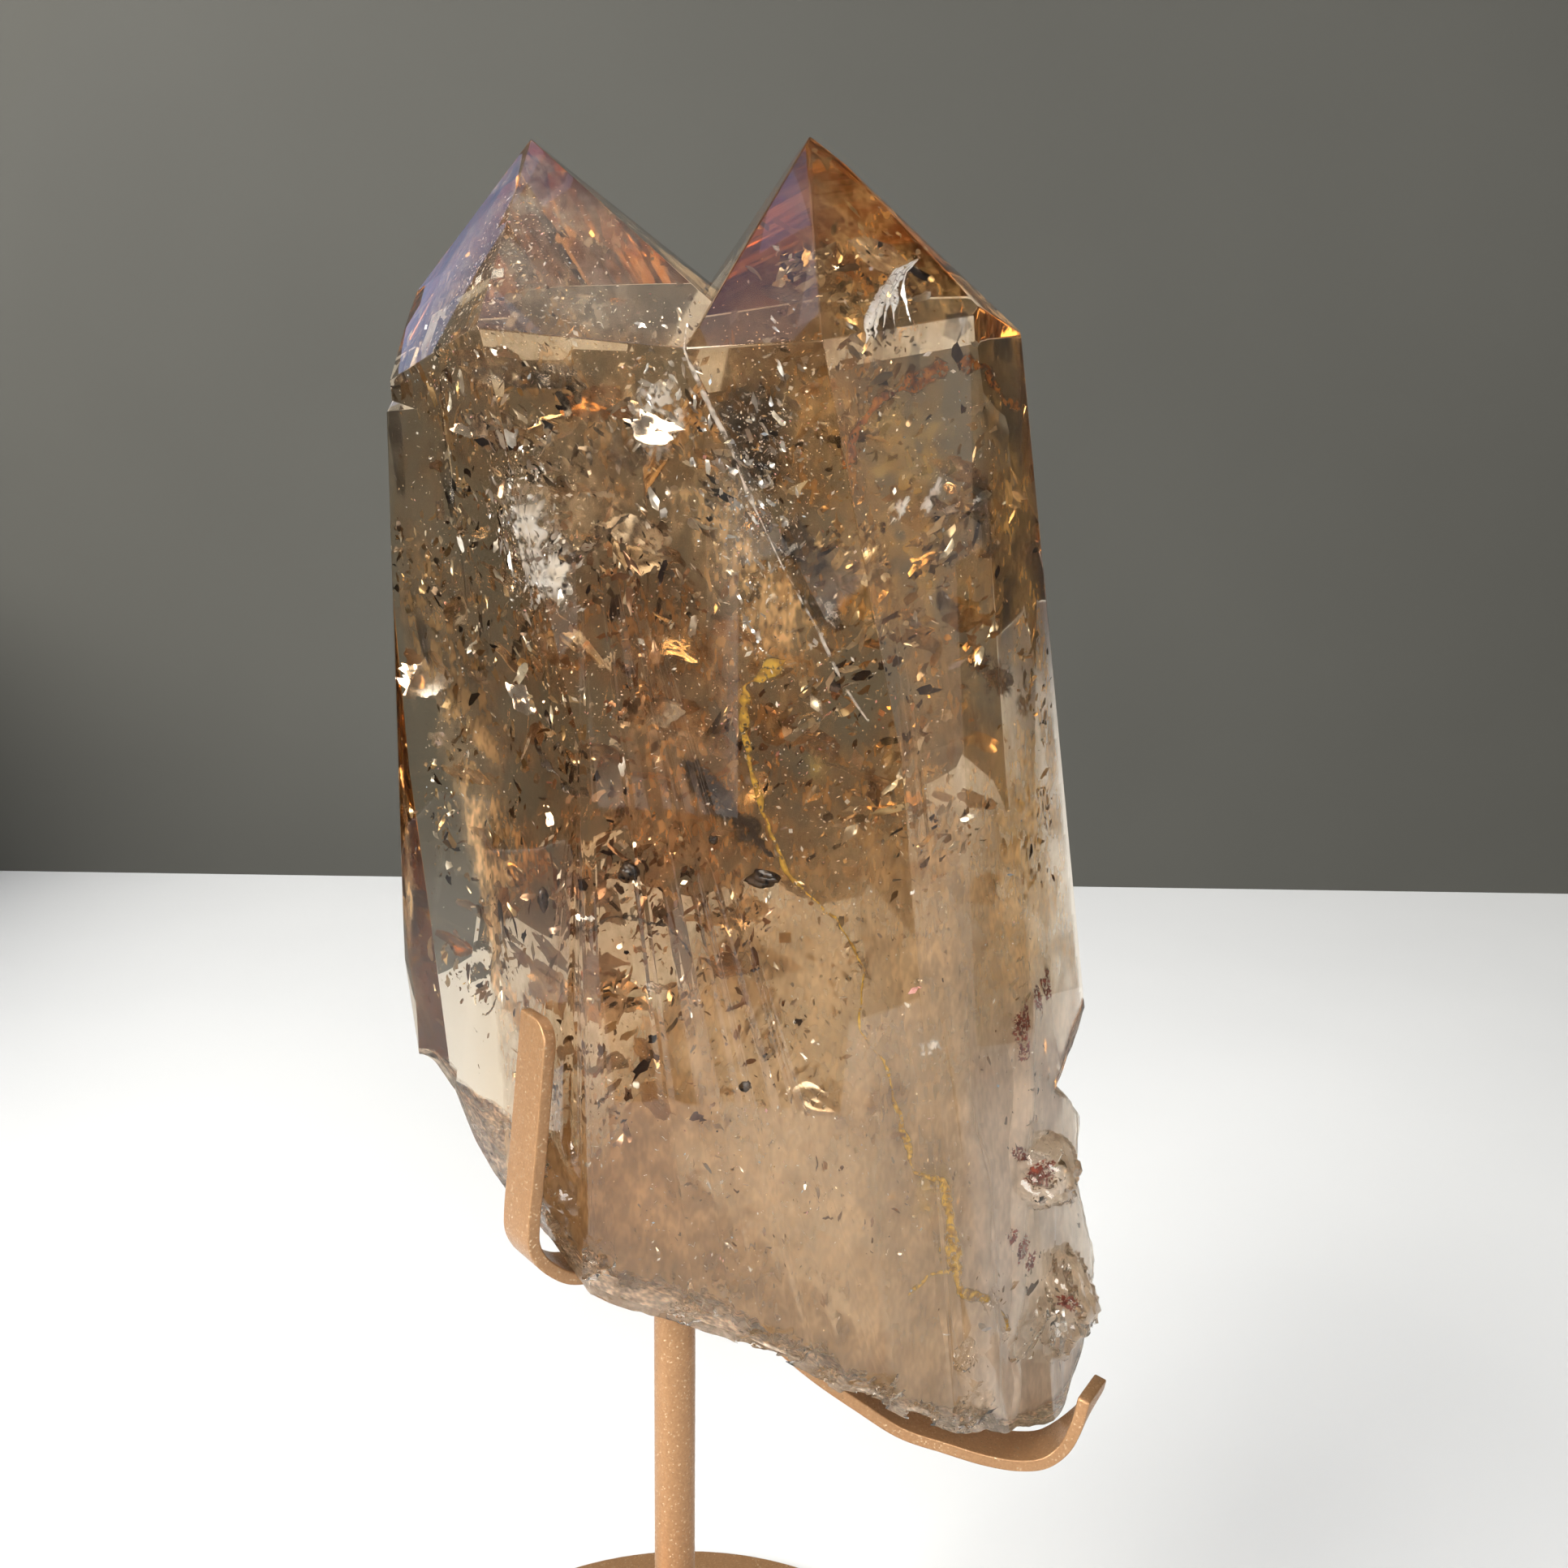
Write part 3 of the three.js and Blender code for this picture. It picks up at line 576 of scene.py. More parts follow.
def zones(x, y, z):
    """Colour, thickness and wispiness of the growth at a place, mixed from soft round zones and a milky foot."""
    edge = np.interp(x, [-50, -17, 11, 37, 61, 80], [128, 150, 196, 214, 226, 232])
    foot = smoothstep(edge - z, -18, 18)
    weight = {
        "milk": foot,
        "core": 1.3 * np.exp(-((x + 6) / 22) ** 2 - ((z - 208) / 44) ** 2) * (1 - smoothstep(edge - z, -12, 14)),
        "gold": 1.0 * np.exp(-((x - 46) / 26) ** 2 - ((z - 248) / 46) ** 2),
        "honey": 3.0 * smoothstep(z, 286, 296) * smoothstep(x, 22, 30),
        "shadow": 3.0 * smoothstep(z, 284, 292) * smoothstep(x, 2, 8) * (1 - smoothstep(x, 22, 28)),
        "silver": 0.8 * np.exp(-((x + 14) / 20) ** 2 - ((z - 274) / 20) ** 2),
        "frost": 3.0 * smoothstep(z, 286, 296) * smoothstep(-x, -8, -2),
        "amber": 2.0 * smoothstep(x, 52, 62) * smoothstep(z, 165, 215),
        "pale": 1.1 * np.exp(-((x + 43) / 12) ** 2 - ((z - 180) / 40) ** 2),
        "tan": 1.9 * np.exp(-((x + 14) / 16) ** 2 - ((z - 145) / 26) ** 2),
        "smoke": 1.6 * smoothstep(y, -4, 9) * smoothstep(z, 185, 235) * (1 - smoothstep(z, 278, 292)),
        "sheen": 1.4 * np.exp(-((x - 0.5 * (290 - z) + 4) / 7) ** 2) * smoothstep(z, 232, 246) * (1 - smoothstep(z, 276, 286)),
        "dome": 1.6 * np.exp(-((x + 13) / 12) ** 2 - ((z - 190) / 9) ** 2),
        "dusk": 0.4 * (1 - foot) + 0.02,
        "strip": 1.8 * smoothstep(-x, 24, 36) * (1 - smoothstep(z, 180, 235)),
        "chalk": 2.6 * smoothstep(x, 48, 66) * (1 - smoothstep(z, 150, 180)),
    }
    look = {
        "milk": ((0.60, 0.43, 0.26), 0.62, 0.20),
        "core": ((0.38, 0.18, 0.075), 0.52, 0.80),
        "smoke": ((0.04, 0.028, 0.017), 0.60, 0.55),
        "gold": ((0.62, 0.35, 0.10), 0.26, 1.00),
        "honey": ((0.60, 0.36, 0.13), 0.26, 1.00),
        "shadow": ((0.16, 0.09, 0.05), 0.40, 0.40),
        "silver": ((0.70, 0.56, 0.39), 0.15, 1.00),
        "frost": ((0.42, 0.39, 0.345), 0.34, 0.60),
        "amber": ((0.95, 0.60, 0.20), 0.70, 0.60),
        "pale": ((1.0, 0.74, 0.44), 0.56, 0.80),
        "tan": ((0.34, 0.18, 0.075), 0.85, 0.35),
        "dusk": ((0.52, 0.32, 0.14), 0.14, 1.00),
        "sheen": ((0.95, 0.70, 0.42), 0.55, 1.00),
        "dome": ((0.27, 0.14, 0.09), 0.60, 0.30),
        "strip": ((0.98, 0.68, 0.38), 0.74, 0.50),
        "chalk": ((0.98, 0.88, 0.80), 0.85, 0.10),
    }
    total = sum(weight.values())
    colour = sum(w[..., None] * np.array(look[k][0]) for k, w in weight.items()) / total[..., None]
    haze = sum(w * look[k][1] for k, w in weight.items()) / total
    wisp = sum(w * look[k][2] for k, w in weight.items()) / total
    return colour, haze, wisp


def kept(points, faces, *values):
    """The points that the faces use, the faces renumbered to them, and the same rows of any values."""
    used = np.unique(faces)
    lookup = np.zeros(len(points), int)
    lookup[used] = np.arange(len(used))
    return (points[used], lookup[faces], *(value[used] for value in values))


def haze_sheet(name, centre, turn, lift, wave, seed, finish, step=1.25, strength=1.0):
    """Wavy sheet through the stone: a plane moved along its own normal by two noises, kept where it is inside."""
    normal = facing(turn, lift)
    across = np.cross(normal, (0, 0, 1.0))
    across /= np.linalg.norm(across)
    rise = np.cross(across, normal)
    a, b = np.meshgrid(np.arange(-80, 80, step), np.arange(-140, 140, step), indexing="ij")
    w = wave * noise(a / 26, b / 34, seed) + 0.3 * wave * noise(a / 8, b / 9, seed + 1)
    p = np.array(centre) + a[..., None] * across + b[..., None] * rise + w[..., None] * normal
    deep = depth_inside(p)
    keep = deep.ravel() > 0.6
    faces = grid_faces(*a.shape)
    faces = faces[keep[faces].all(1)]
    used = np.unique(faces)
    lookup = np.zeros(a.size, int)
    lookup[used] = np.arange(len(used))
    points = p.reshape(-1, 3)[used]
    colour, haze, wisp = zones(*points.T)
    u, v = a.ravel()[used], b.ravel()[used]
    drift = 3 * noise(u / 9, v / 11, seed + 2)
    cloud = (noise((u + drift) / 11, v / 15, seed + 3) + 0.6 * noise((u - v) / 5.5, (v + drift) / 7, seed + 4)
             + 0.45 * noise(u / 2.4, (v + u) / 3.6, seed + 5))
    haze = haze * (1 - wisp + wisp * smoothstep(cloud, -0.35, 0.9) * 1.3)
    broad = 0.34 * wisp * noise((u + 0.4 * v) / 8, (v - drift) / 12, seed + 7)
    colour = colour * (1 + broad + (0.20 + 0.18 * wisp) * noise(u / 3.1, v / 4.2, seed + 6))[:, None]
    haze = haze * smoothstep(deep.ravel()[used], 0.6, 2.6) * strength
    return painted(mesh_object(name, points, lookup[faces]), finish, haze, wisp, colour)


def break_skin(name, surface, finish, seed):
    """Pale bruised skin just inside a natural break: the break's own grid of points, moved in, where it is inside."""
    points = surface.reshape(-1, 3)
    deep = depth_inside(points)
    keep = deep > 0.35
    faces = grid_faces(*surface.shape[:2])
    faces = faces[keep[faces].all(1)]
    used = np.unique(faces)
    lookup = np.zeros(len(points), int)
    lookup[used] = np.arange(len(used))
    points = points[used]
    cloud = noise(points[:, 0] / 4, points[:, 1] / 4 + points[:, 2] / 5, seed) + 0.6 * noise(
        points[:, 0] / 1.6, points[:, 1] / 1.6 + points[:, 2] / 1.8, seed + 1)
    haze = smoothstep(deep[used], 0.35, 0.8) * (0.30 + 0.55 * smoothstep(cloud, -0.4, 0.7))
    tone = np.array((1.0, 0.86, 0.72)) * (0.85 + 0.12 * cloud)[:, None]
    return painted(mesh_object(name, points, lookup[faces]), finish, haze, np.full(len(used), 0.7), tone)


def painted(obj, finish, haze=None, wisp=None, colour=None):
    """Gives a piece its finish and its own zone values, and seats it on the one body."""
    mesh = obj.data
    if haze is not None:
        mesh.attributes.new("haze", "FLOAT", "POINT").data.foreach_set("value", haze.astype(np.float32))
    if wisp is not None:
        mesh.attributes.new("wisp", "FLOAT", "POINT").data.foreach_set("value", wisp.astype(np.float32))
    if colour is not None:
        rgba = np.concatenate([colour, np.ones((len(colour), 1))], 1).astype(np.float32)
        mesh.attributes.new("zone", "FLOAT_COLOR", "POINT").data.foreach_set("color", rgba.ravel())
    mesh.materials.clear()
    mesh.materials.append(finish)
    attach(obj, "root")
    return obj


def shells(name, centres, radii, turns, lifts, seed, finish):
    """Curved fracture shells in one mesh: each a small dish of rings, ragged at the rim and rippled like a shell."""
    rings, spokes = 5, 14
    r = np.linspace(0, 1, rings)[None, :, None]
    t = np.linspace(0, 2 * math.pi, spokes, endpoint=False)[None, None]
    k = np.arange(len(centres))[:, None, None]
    rim = 1 + 0.45 * noise(2.1 * np.cos(t) + 7 * k, 2.1 * np.sin(t) + 3 * k, seed)
    long = 1 + 1.6 * scatter(k, 3 * k, seed + 4)
    u, v = r * rim * np.cos(t) * long, r * rim * np.sin(t)
    w = 0.10 * r ** 2 * np.cos(t) ** 2 + 0.02 * np.sin(17 * r + 5 * k)
    shape = np.stack([u, v, w], -1) * np.array(radii)[:, None, None, None]
    normal = np.array([facing(a, b) for a, b in zip(turns, lifts)])
    across = np.cross(normal, (0.3, 0.1, 1.0))
    across /= np.linalg.norm(across, axis=1, keepdims=True)
    rise = np.cross(across, normal)
    basis = np.stack([across, rise, normal], 1)
    p = np.einsum("nrsi,nij->nrsj", shape, basis) + np.array(centres)[:, None, None]
    one = grid_faces(rings, spokes, wrap=True)
    faces = (one[None] + (np.arange(len(centres)) * rings * spokes)[:, None, None]).reshape(-1, 4)
    deep = depth_inside(p.reshape(-1, 3))
    faces = faces[(deep > 0.6)[faces].all(1)]
    fade = (1 - smoothstep(np.broadcast_to(r, p.shape[:-1]), 0.55, 1.0)).ravel() * smoothstep(deep, 0.6, 2.0)
    points, faces, fade = kept(p.reshape(-1, 3), faces, fade)
    return painted(mesh_object(name, points, faces), finish, fade)


def ribbon(name, path, width, seed, finish, ragged=0.5, wander=0.35, swell=((0, 1), (1, 1)), sections=8):
    """Flat vein along a path: a lens-shaped section swept along the smoothed points. Its width follows swell, given
    as [share of the length, factor], and wanders."""
    path = np.array(path, float)
    length = np.concatenate([[0], np.cumsum(np.linalg.norm(np.diff(path, axis=0), axis=1))])
    s = np.linspace(0, length[-1], int(length[-1] / 0.6) + 4)
    middle = np.stack([np.interp(s, length, path[:, c]) for c in range(3)], -1)
    middle[1:-1] = (middle[:-2] + 2 * middle[1:-1] + middle[2:]) / 4
    middle[:, 0] += wander * noise(s / 2.1, 0 * s, seed)
    middle[:, 2] += wander * noise(s / 2.7, 0 * s + 9, seed + 1)
    ahead = np.gradient(middle, axis=0)
    ahead /= np.linalg.norm(ahead, axis=1, keepdims=True)
    side = np.cross(ahead, (0, -1.0, 0))
    side /= np.linalg.norm(side, axis=1, keepdims=True)
    over = np.cross(side, ahead)
    half = width * (1 + ragged * noise(s / 3.3, 0 * s + 4, seed + 2) + 0.4 * ragged * noise(s / 1.1, 0 * s, seed + 3))
    half *= np.interp(s / s[-1], *np.transpose(swell))
    half = np.maximum(half, 0.16) * np.minimum(1, np.minimum(s, s[-1] - s) / 2.5 + 0.15)
    t = np.linspace(0, 2 * math.pi, sections, endpoint=False)
    rings = (middle[:, None] + side[:, None] * (half[:, None] * np.cos(t))[..., None]
             + over[:, None] * (0.05 * np.sin(t) * np.ones_like(half)[:, None])[..., None])
    made = tube(name, rings)
    place = np.array([v.co for v in made.data.vertices]) / MM
    nearest = np.abs(((place[:, None] - middle[None]) ** 2).sum(-1)).argmin(1)
    off = np.linalg.norm(place - middle[nearest], axis=1) / half[nearest]
    return painted(made, finish, 1 - smoothstep(off, 0.55, 1.0))


def patch(name, spots, seed, finish, soft=0.35, corners=0):
    """Ragged patches in one mesh: flat dishes of rings with a spiky rim, a little tilted and wavy. They thin out from
    the share of the way out given by soft, and with corners the rim runs nearer to a polygon."""
    centres = [s[:3] for s in spots]
    rings, spokes = 12, 60
    r = np.linspace(0, 1, rings)[None, :, None]
    t = np.linspace(0, 2 * math.pi, spokes, endpoint=False)[None, None]
    k = np.arange(len(spots))[:, None, None]
    rim = 1 + 0.35 * noise(3 * np.cos(t) + 5 * k, 3 * np.sin(t), seed) + 0.2 * noise(12 * np.cos(t), 12 * np.sin(t) + k, seed)
    if corners:
        step = math.pi / corners
        rim = (0.75 + 0.25 * rim) * math.cos(step) / np.cos((t + k * 1.7) % (2 * step) - step)
    wide = np.array([s[3] for s in spots])[:, None, None]
    high = np.array([s[4] for s in spots])[:, None, None]
    lean = np.radians([s[5] for s in spots])[:, None, None]
    a, b = r * rim * np.cos(t) * wide, r * rim * np.sin(t) * high
    x, z = a * np.cos(lean) + b * np.sin(lean), b * np.cos(lean) - a * np.sin(lean)
    y = 0.8 * noise(a / 3 + 9 * k, b / 3, seed + 3) + 0.12 * a
    p = np.stack([x, y, z], -1) + np.array(centres)[:, None, None]
    one = grid_faces(rings, spokes, wrap=True)
    faces = (one[None] + (np.arange(len(spots)) * rings * spokes)[:, None, None]).reshape(-1, 4)
    deep = depth_inside(p.reshape(-1, 3))
    faces = faces[(deep > 0.4)[faces].all(1)]
    fade = (1 - smoothstep(np.broadcast_to(r, p.shape[:-1]), soft, 1.0)).ravel()
    points, faces, fade = kept(p.reshape(-1, 3), faces, fade)
    return painted(mesh_object(name, points, faces), finish, fade)


def brought_up(spots, deep):
    """The same spots moved towards the front until they lie a given depth under the surface."""
    moved = []
    for x, y, z, *rest in spots:
        ys = y - np.arange(0, 14, 0.1)
        depth = depth_inside(np.stack([np.full_like(ys, x), ys, np.full_like(ys, z)], -1))
        under = ys[depth > deep]
        moved.append((x, under[-1] if len(under) else y, z, *rest))
    return moved


def grains(name, spots, seed, finish):
    """Small dark bodies in one mesh: knobbly flattened balls, each with its own noise."""
    lat = np.linspace(0.02, math.pi - 0.02, 10)[None, :, None]
    lon = np.linspace(0, 2 * math.pi, 16, endpoint=False)[None, None]
    k = np.arange(len(spots))[:, None, None]
    d = np.stack(np.broadcast_arrays(np.sin(lat) * np.cos(lon) + 0 * k, np.sin(lat) * np.sin(lon) + 0 * k,
                                     np.cos(lat) + 0 * lon + 0 * k), -1)
    out = 1 + 0.45 * noise(1.9 * d[..., 0] + 2 * d[..., 2] + 5 * k, 1.9 * d[..., 1] - d[..., 2] + 3 * k, seed)
    size = np.array([[s[3], 0.45 * min(s[3], s[4]), s[4]] for s in spots])[:, None, None]
    p = d * out[..., None] * size + np.array([s[:3] for s in spots])[:, None, None]
    one = grid_faces(10, 16, wrap=True)
    faces = (one[None] + (np.arange(len(spots)) * 160)[:, None, None]).reshape(-1, 4)
    faces = faces[(depth_inside(p.reshape(-1, 3)) > 0.2)[faces].all(1)]
    return painted(mesh_object(name, *kept(p.reshape(-1, 3), faces)), finish)


def flakes(name, count, seed, finish, centre=(12.0, 0.0, 205.0), spread=(34.0, 14.0, 60.0), size=(0.08, 0.16)):
    """Tiny glittering flakes in one mesh: random four-cornered leaves strewn in a normal spread about a place."""
    rng = np.random.default_rng(seed)
    p = rng.normal(size=(count * 4, 3)) * spread + centre
    p = p[depth_inside(p) > 1.0][:count]
    n = len(p)
    d = rng.normal(size=(n, 3))
    d /= np.linalg.norm(d, axis=1, keepdims=True)
    e = np.cross(d, rng.normal(size=(n, 3)))
    e /= np.linalg.norm(e, axis=1, keepdims=True)
    half = rng.gamma(1.3, size[1], (n, 1)) + size[0]
    long = rng.uniform(1.0, 2.6, (n, 1))
    corners = np.stack([p + d * half * long, p + e * half, p - d * half * long, p - e * half], 1)
    corners = corners[(depth_inside(corners.reshape(-1, 3)) > 0.3).reshape(n, 4).all(1)]
    n = len(corners)
    made = mesh_object(name, corners, np.arange(4 * n).reshape(n, 4), smooth=False)
    hue = rng.choice(4, n, p=[0.70, 0.16, 0.08, 0.06])
    tones = np.array([(1.0, 0.97, 0.92), (1.0, 0.80, 0.50), (0.62, 0.78, 1.0), (1.0, 0.62, 0.66)])[hue]
    return painted(made, finish, colour=np.repeat(tones, 4, axis=0))


def flecks(name, count, centre, spread, size, tones, seed, finish, along=(0.0, 0.0, 1.0)):
    """Ragged leaves of healed cracks in one mesh: outlines of nine points around a middle, long one way, bent like
    a petal. They lie in nests in a normal spread about a place, mostly facing the front, their long way near a direction."""
    rng = np.random.default_rng(seed)
    nests = rng.normal(size=(count // 14 + 3, 3)) * spread + centre
    p = nests[rng.integers(0, len(nests), 4 * count)] + rng.normal(size=(4 * count, 3)) * np.array([2.6, 2.0, 3.4])
    p = p[depth_inside(p) > 1.2][:count]
    n = len(p)
    normal = rng.normal(size=(n, 3)) * 0.75 + (0.0, -1.0, 0.25)
    normal /= np.linalg.norm(normal, axis=1, keepdims=True)
    long = np.cross(normal, rng.normal(size=(n, 3)) * 0.5 + np.cross(along, (0.0, -1.0, 0.0)))
    long /= np.linalg.norm(long, axis=1, keepdims=True)
    short = np.cross(normal, long)
    corners = 9
    t = np.linspace(0, 2 * math.pi, corners, endpoint=False)[None]
    reach = (size[0] + (size[1] - size[0]) * rng.random((n, 1)) ** 3) * rng.uniform(0.45, 1.35, (n, corners))
    u, v = reach * np.cos(t) * rng.uniform(0.9, 2.6, (n, 1)), reach * np.sin(t) * 0.7
    w = 0.18 * u * u / np.abs(u).max(1, keepdims=True)
    rim = p[:, None] + u[..., None] * long[:, None] + v[..., None] * short[:, None] + w[..., None] * normal[:, None]
    verts = np.concatenate([p[:, None], rim], 1)
    j = np.arange(corners)
    one = np.stack([np.zeros(corners, int), j + 1, (j + 1) % corners + 1], -1)
    faces = (one[None] + (np.arange(n) * (corners + 1))[:, None, None]).reshape(-1, 3)
    inside = (depth_inside(verts.reshape(-1, 3)) > 0.4).reshape(n, -1).all(1)
    faces = faces[np.repeat(inside, corners)]
    picked = np.array(tones)[rng.integers(0, len(tones), n)] * rng.uniform(0.6, 1.0, (n, 1))
    points, faces, tone = kept(verts.reshape(-1, 3), faces, np.repeat(picked, corners + 1, axis=0))
    return painted(mesh_object(name, points, faces), finish, colour=tone)


def strip(name, line, way, wedges, finish, near_corner=0.0, far_corner=0.0, twist=0.0):
    """Flat bar bent along a line: a rounded oblong section swept along the smoothed path, its two edges drawn in
    to the wedge it has at the hub and rounded off at the free end, then turned to its way round the stem."""
    line = np.array(line, float)
    length = np.concatenate([[0], np.cumsum(np.linalg.norm(np.diff(line, axis=0), axis=1) ** 0.5)])
    u = length[-1] * (1 - (1 - np.linspace(0, 1, 300)) ** 1.3)
    ends = np.concatenate([[2 * line[0] - line[1]], line, [2 * line[-1] - line[-2]]])
    knots = np.concatenate([[2 * length[0] - length[1]], length, [2 * length[-1] - length[-2]]])
    k = np.clip(np.searchsorted(length, u, side="right"), 1, len(line) - 1)
    t0, t1, t2, t3 = (knots[k + j - 1][:, None] for j in range(4))
    p0, p1, p2, p3 = (ends[k + j - 1] for j in range(4))
    q = u[:, None]
    a1, a2, a3 = (((tb - q) * pa + (q - ta) * pb) / (tb - ta)
                  for pa, pb, ta, tb in ((p0, p1, t0, t1), (p1, p2, t1, t2), (p2, p3, t2, t3)))
    b1 = ((t2 - q) * a1 + (q - t0) * a2) / (t2 - t0)
    b2 = ((t3 - q) * a2 + (q - t1) * a3) / (t3 - t1)
    middle = ((t2 - q) * b1 + (q - t1) * b2) / (t2 - t1)
    ahead = np.gradient(middle, axis=0)
    ahead /= np.linalg.norm(ahead, axis=1, keepdims=True)
    s = np.concatenate([[0], np.cumsum(np.linalg.norm(np.diff(middle, axis=0), axis=1))])
    left = s[-1] - s

    def half(wedge, corner):
        at_hub = middle[:, 0] * math.tan(math.radians(wedge)) + 0.02
        round_off = np.zeros_like(s)
        if corner:
            inside = np.clip(corner - left, 0, corner)
            round_off = corner - np.sqrt(np.maximum(corner ** 2 - inside ** 2, 0.0))
        return np.minimum(4.75, at_hub) - round_off
    near, far = half(wedges[0], near_corner), half(wedges[1], far_corner)
    soft = 0.35
    angle = np.radians(np.concatenate([np.linspace(quarter, quarter + 90, 6) for quarter in (0, 90, 180, 270)]))
    side = np.repeat((1, -1, -1, 1), 6)
    up = np.repeat((1, 1, -1, -1), 6)
    centre, reach = (far - near) / 2, (far + near) / 2
    corner = np.minimum(soft, 0.9 * reach)[:, None]
    width = side * (reach[:, None] - corner) + corner * np.cos(angle)
    end_round = np.sqrt(np.clip(1 - (np.clip(soft - left, 0, soft) / soft) ** 2, 0.0, 1))[:, None]
    thick = up * (1.2 - soft) + soft * np.sin(angle) * (0.15 + 0.85 * end_round)
    y = centre[:, None] + width
    x = middle[:, :1] - ahead[:, 1:] * thick
    z = middle[:, 1:] + ahead[:, :1] * thick
    if twist:
        turned = np.radians(-twist) * smoothstep(z, 87, 99) * (x > 60)
        pivot_x = np.interp(z, [86, 94, 101], [72.6, 76.5, 78])
        dx, dy = x - pivot_x, y + 4.75
        x = np.where(x > 60, pivot_x + dx * np.cos(turned) - dy * np.sin(turned), x)
        y = np.where(x > 60, -4.75 + dx * np.sin(turned) + dy * np.cos(turned), y)
    c, d = math.cos(math.radians(way)), math.sin(math.radians(way))
    rings = np.stack([c * x - d * y, d * x + c * y, z], -1)
    return painted(tube(name, rings), finish)


def turned(name, profile, finish, sides=128):
    """Turned part: an outline of [radius, height] points carried round the upright axis."""
    r, z = np.array(profile, float).T
    t = np.linspace(0, 2 * math.pi, sides, endpoint=False)
    rings = np.stack(np.broadcast_arrays(r[:, None] * np.cos(t), r[:, None] * np.sin(t), z[:, None]), -1)
    return painted(tube(name, rings), finish)


def rounded_rim(radius, low, high, soft):
    """Outline of a disc or rod whose two rims are quarter circles of the given softness."""
    a = np.linspace(0, math.pi / 2, 6)
    foot = [[radius - soft + soft * math.sin(v), low + soft - soft * math.cos(v)] for v in a]
    head = [[radius - soft + soft * math.cos(v), high - soft + soft * math.sin(v)] for v in a]
    return [[radius * 0.5, low]] + foot + head + [[radius * 0.5, high]]


# Stand
copper = copper_finish()
LEFT_ARM = [[0, 119.4], [5, 120.4], [12, 122.7], [20, 124.9], [25, 126.4], [28.3, 128.8], [30.9, 131.7], [32.2, 134.8],
            [32.2, 138.4], [30.8, 150], [28, 175.2]]
RIGHT_ARM = [[0, 119.8], [5, 119.5], [9.5, 116.6], [14, 112.6], [26.6, 101.6], [36.6, 94.9], [44.6, 90.2],
             [52.6, 88], [60.6, 86.1], [66.6, 85.6], [71.3, 86.5], [74.6, 89.4], [76.7, 94.2], [78, 100.6]]
REAR_ARM = [[0, 119.6], [12, 119], [24, 119.8], [30.5, 121.4], [33.6, 124.6], [34.6, 129], [34.4, 136], [33.4, 147]]
parts = [
    (strip("left_prong_bar", LEFT_ARM, 217, (57, 68), copper, near_corner=0, far_corner=4.6), "cradle_arm_left"),
    (strip("right_prong_bar", RIGHT_ARM, -7, (68, 55), copper, 0.8, 0.8, twist=24), "cradle_arm_right"),
    (strip("rear_prong_bar", REAR_ARM, 103, (55, 57), copper, 4.6, 4.6), "cradle_arm_rear"),
    (turned("upright_rod", rounded_rim(4, 5.3, 117.7, 0.25), copper, 64), "stem"),
    (turned("foot_plate", rounded_rim(66, 0, 5, 0.9), copper, 192), "base_disc"),
]
for piece, cad_node in parts:
    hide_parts(cad_node)

# Stone
stone = build_stone()
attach(stone, "root")
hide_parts("crystal")

# Growth and inclusions inside the stone
cloud = haze_finish("cloudy_growth")
SHEETS = [
    ((10, -15, 200), 2, -1, 2.0, 1.0), ((10, 1, 200), -5, 2, 4.0, 1.3),
]
SHEETS += [(HEART + facing(turn, lift) * (reach - deep), turn, lift, 1.0, 1.0)
           for (turn, lift, reach), deep in ((LEFT_TIP[0], 4), (RIGHT_CRYSTAL[2], 4), (SHARED[0], 7), (SHARED[1], 6),
                                             (SHARED[5], 5))]
for k, (centre, turn, lift, wave, strength) in enumerate(SHEETS):
    haze_sheet(f"cloud_sheet_{k:02d}", centre, turn, lift, wave, 100 + 7 * k, cloud, strength=strength)

xs, ys = np.meshgrid(np.arange(-60, 90, 0.9), np.arange(-30, 36, 0.9), indexing="ij")
break_skin("break_bloom", np.stack([xs, ys, break_height(xs, ys) + 1.1], -1), cloud, 61)
ys, zs = np.meshgrid(np.arange(-30, 36, 0.9), np.arange(85, 182, 0.9), indexing="ij")
break_skin("end_bloom", np.stack([end_reach(ys, zs) - 1.1, ys, zs], -1), cloud, 63)

rng = np.random.default_rng(8)


def strewn(count, centre, spread, radius):
    """Random places and bearings for fracture shells: centres about a point, radii and turns."""
    p = rng.normal(size=(count, 3)) * spread + centre
    size = radius[0] + (radius[1] - radius[0]) * rng.random(count) ** 2.5
    return p, size, rng.uniform(-180, 180, count), rng.uniform(-70, 70, count)


fracture = fracture_finish("fracture")
shells("core_fractures", *strewn(120, (-6, -6, 216), (22, 9, 38), (1.2, 5.5)), 3, fracture)
shells("right_fractures", *strewn(90, (44, -4, 250), (17, 9, 34), (1.0, 5.0)), 4, fracture)
shells("left_fractures", *strewn(80, (-36, 0, 225), (11, 10, 48), (1.0, 4.0)), 7, fracture)
frost = grown_finish("frost", (0.80, 0.74, 0.66), (1.0, 1.0, 1.0), 330, 0.3, 0.95, wisps=(0.42, 0.56))
patch("frost_patches", FROST, 9, frost)
patch("gold_veils", GOLD_VEIL, 31, grown_finish("gold_film", (0.48, 0.28, 0.05), (0.80, 0.55, 0.15), 160, 0.3, 0.5, wisps=(0.34, 0.66)))
# Dark windows: dark films painted as shade, standing in for the dark surroundings seen through the clear stone
patch("painted_dark_views", PAINTED_DARK_VIEWS, 32, grown_finish("smoky_film", (0.020, 0.015, 0.010), (0.055, 0.042, 0.03), 60, 0.15, 0.72,
                                                   wisps=(0.30, 0.56)), 0.8, 5)
patch("dark_blotches", BLOTCH, 33, grown_finish("brown_film", (0.04, 0.022, 0.012), (0.13, 0.07, 0.04), 300, 0.3, 0.95,
                                                wisps=(0.42, 0.56)))
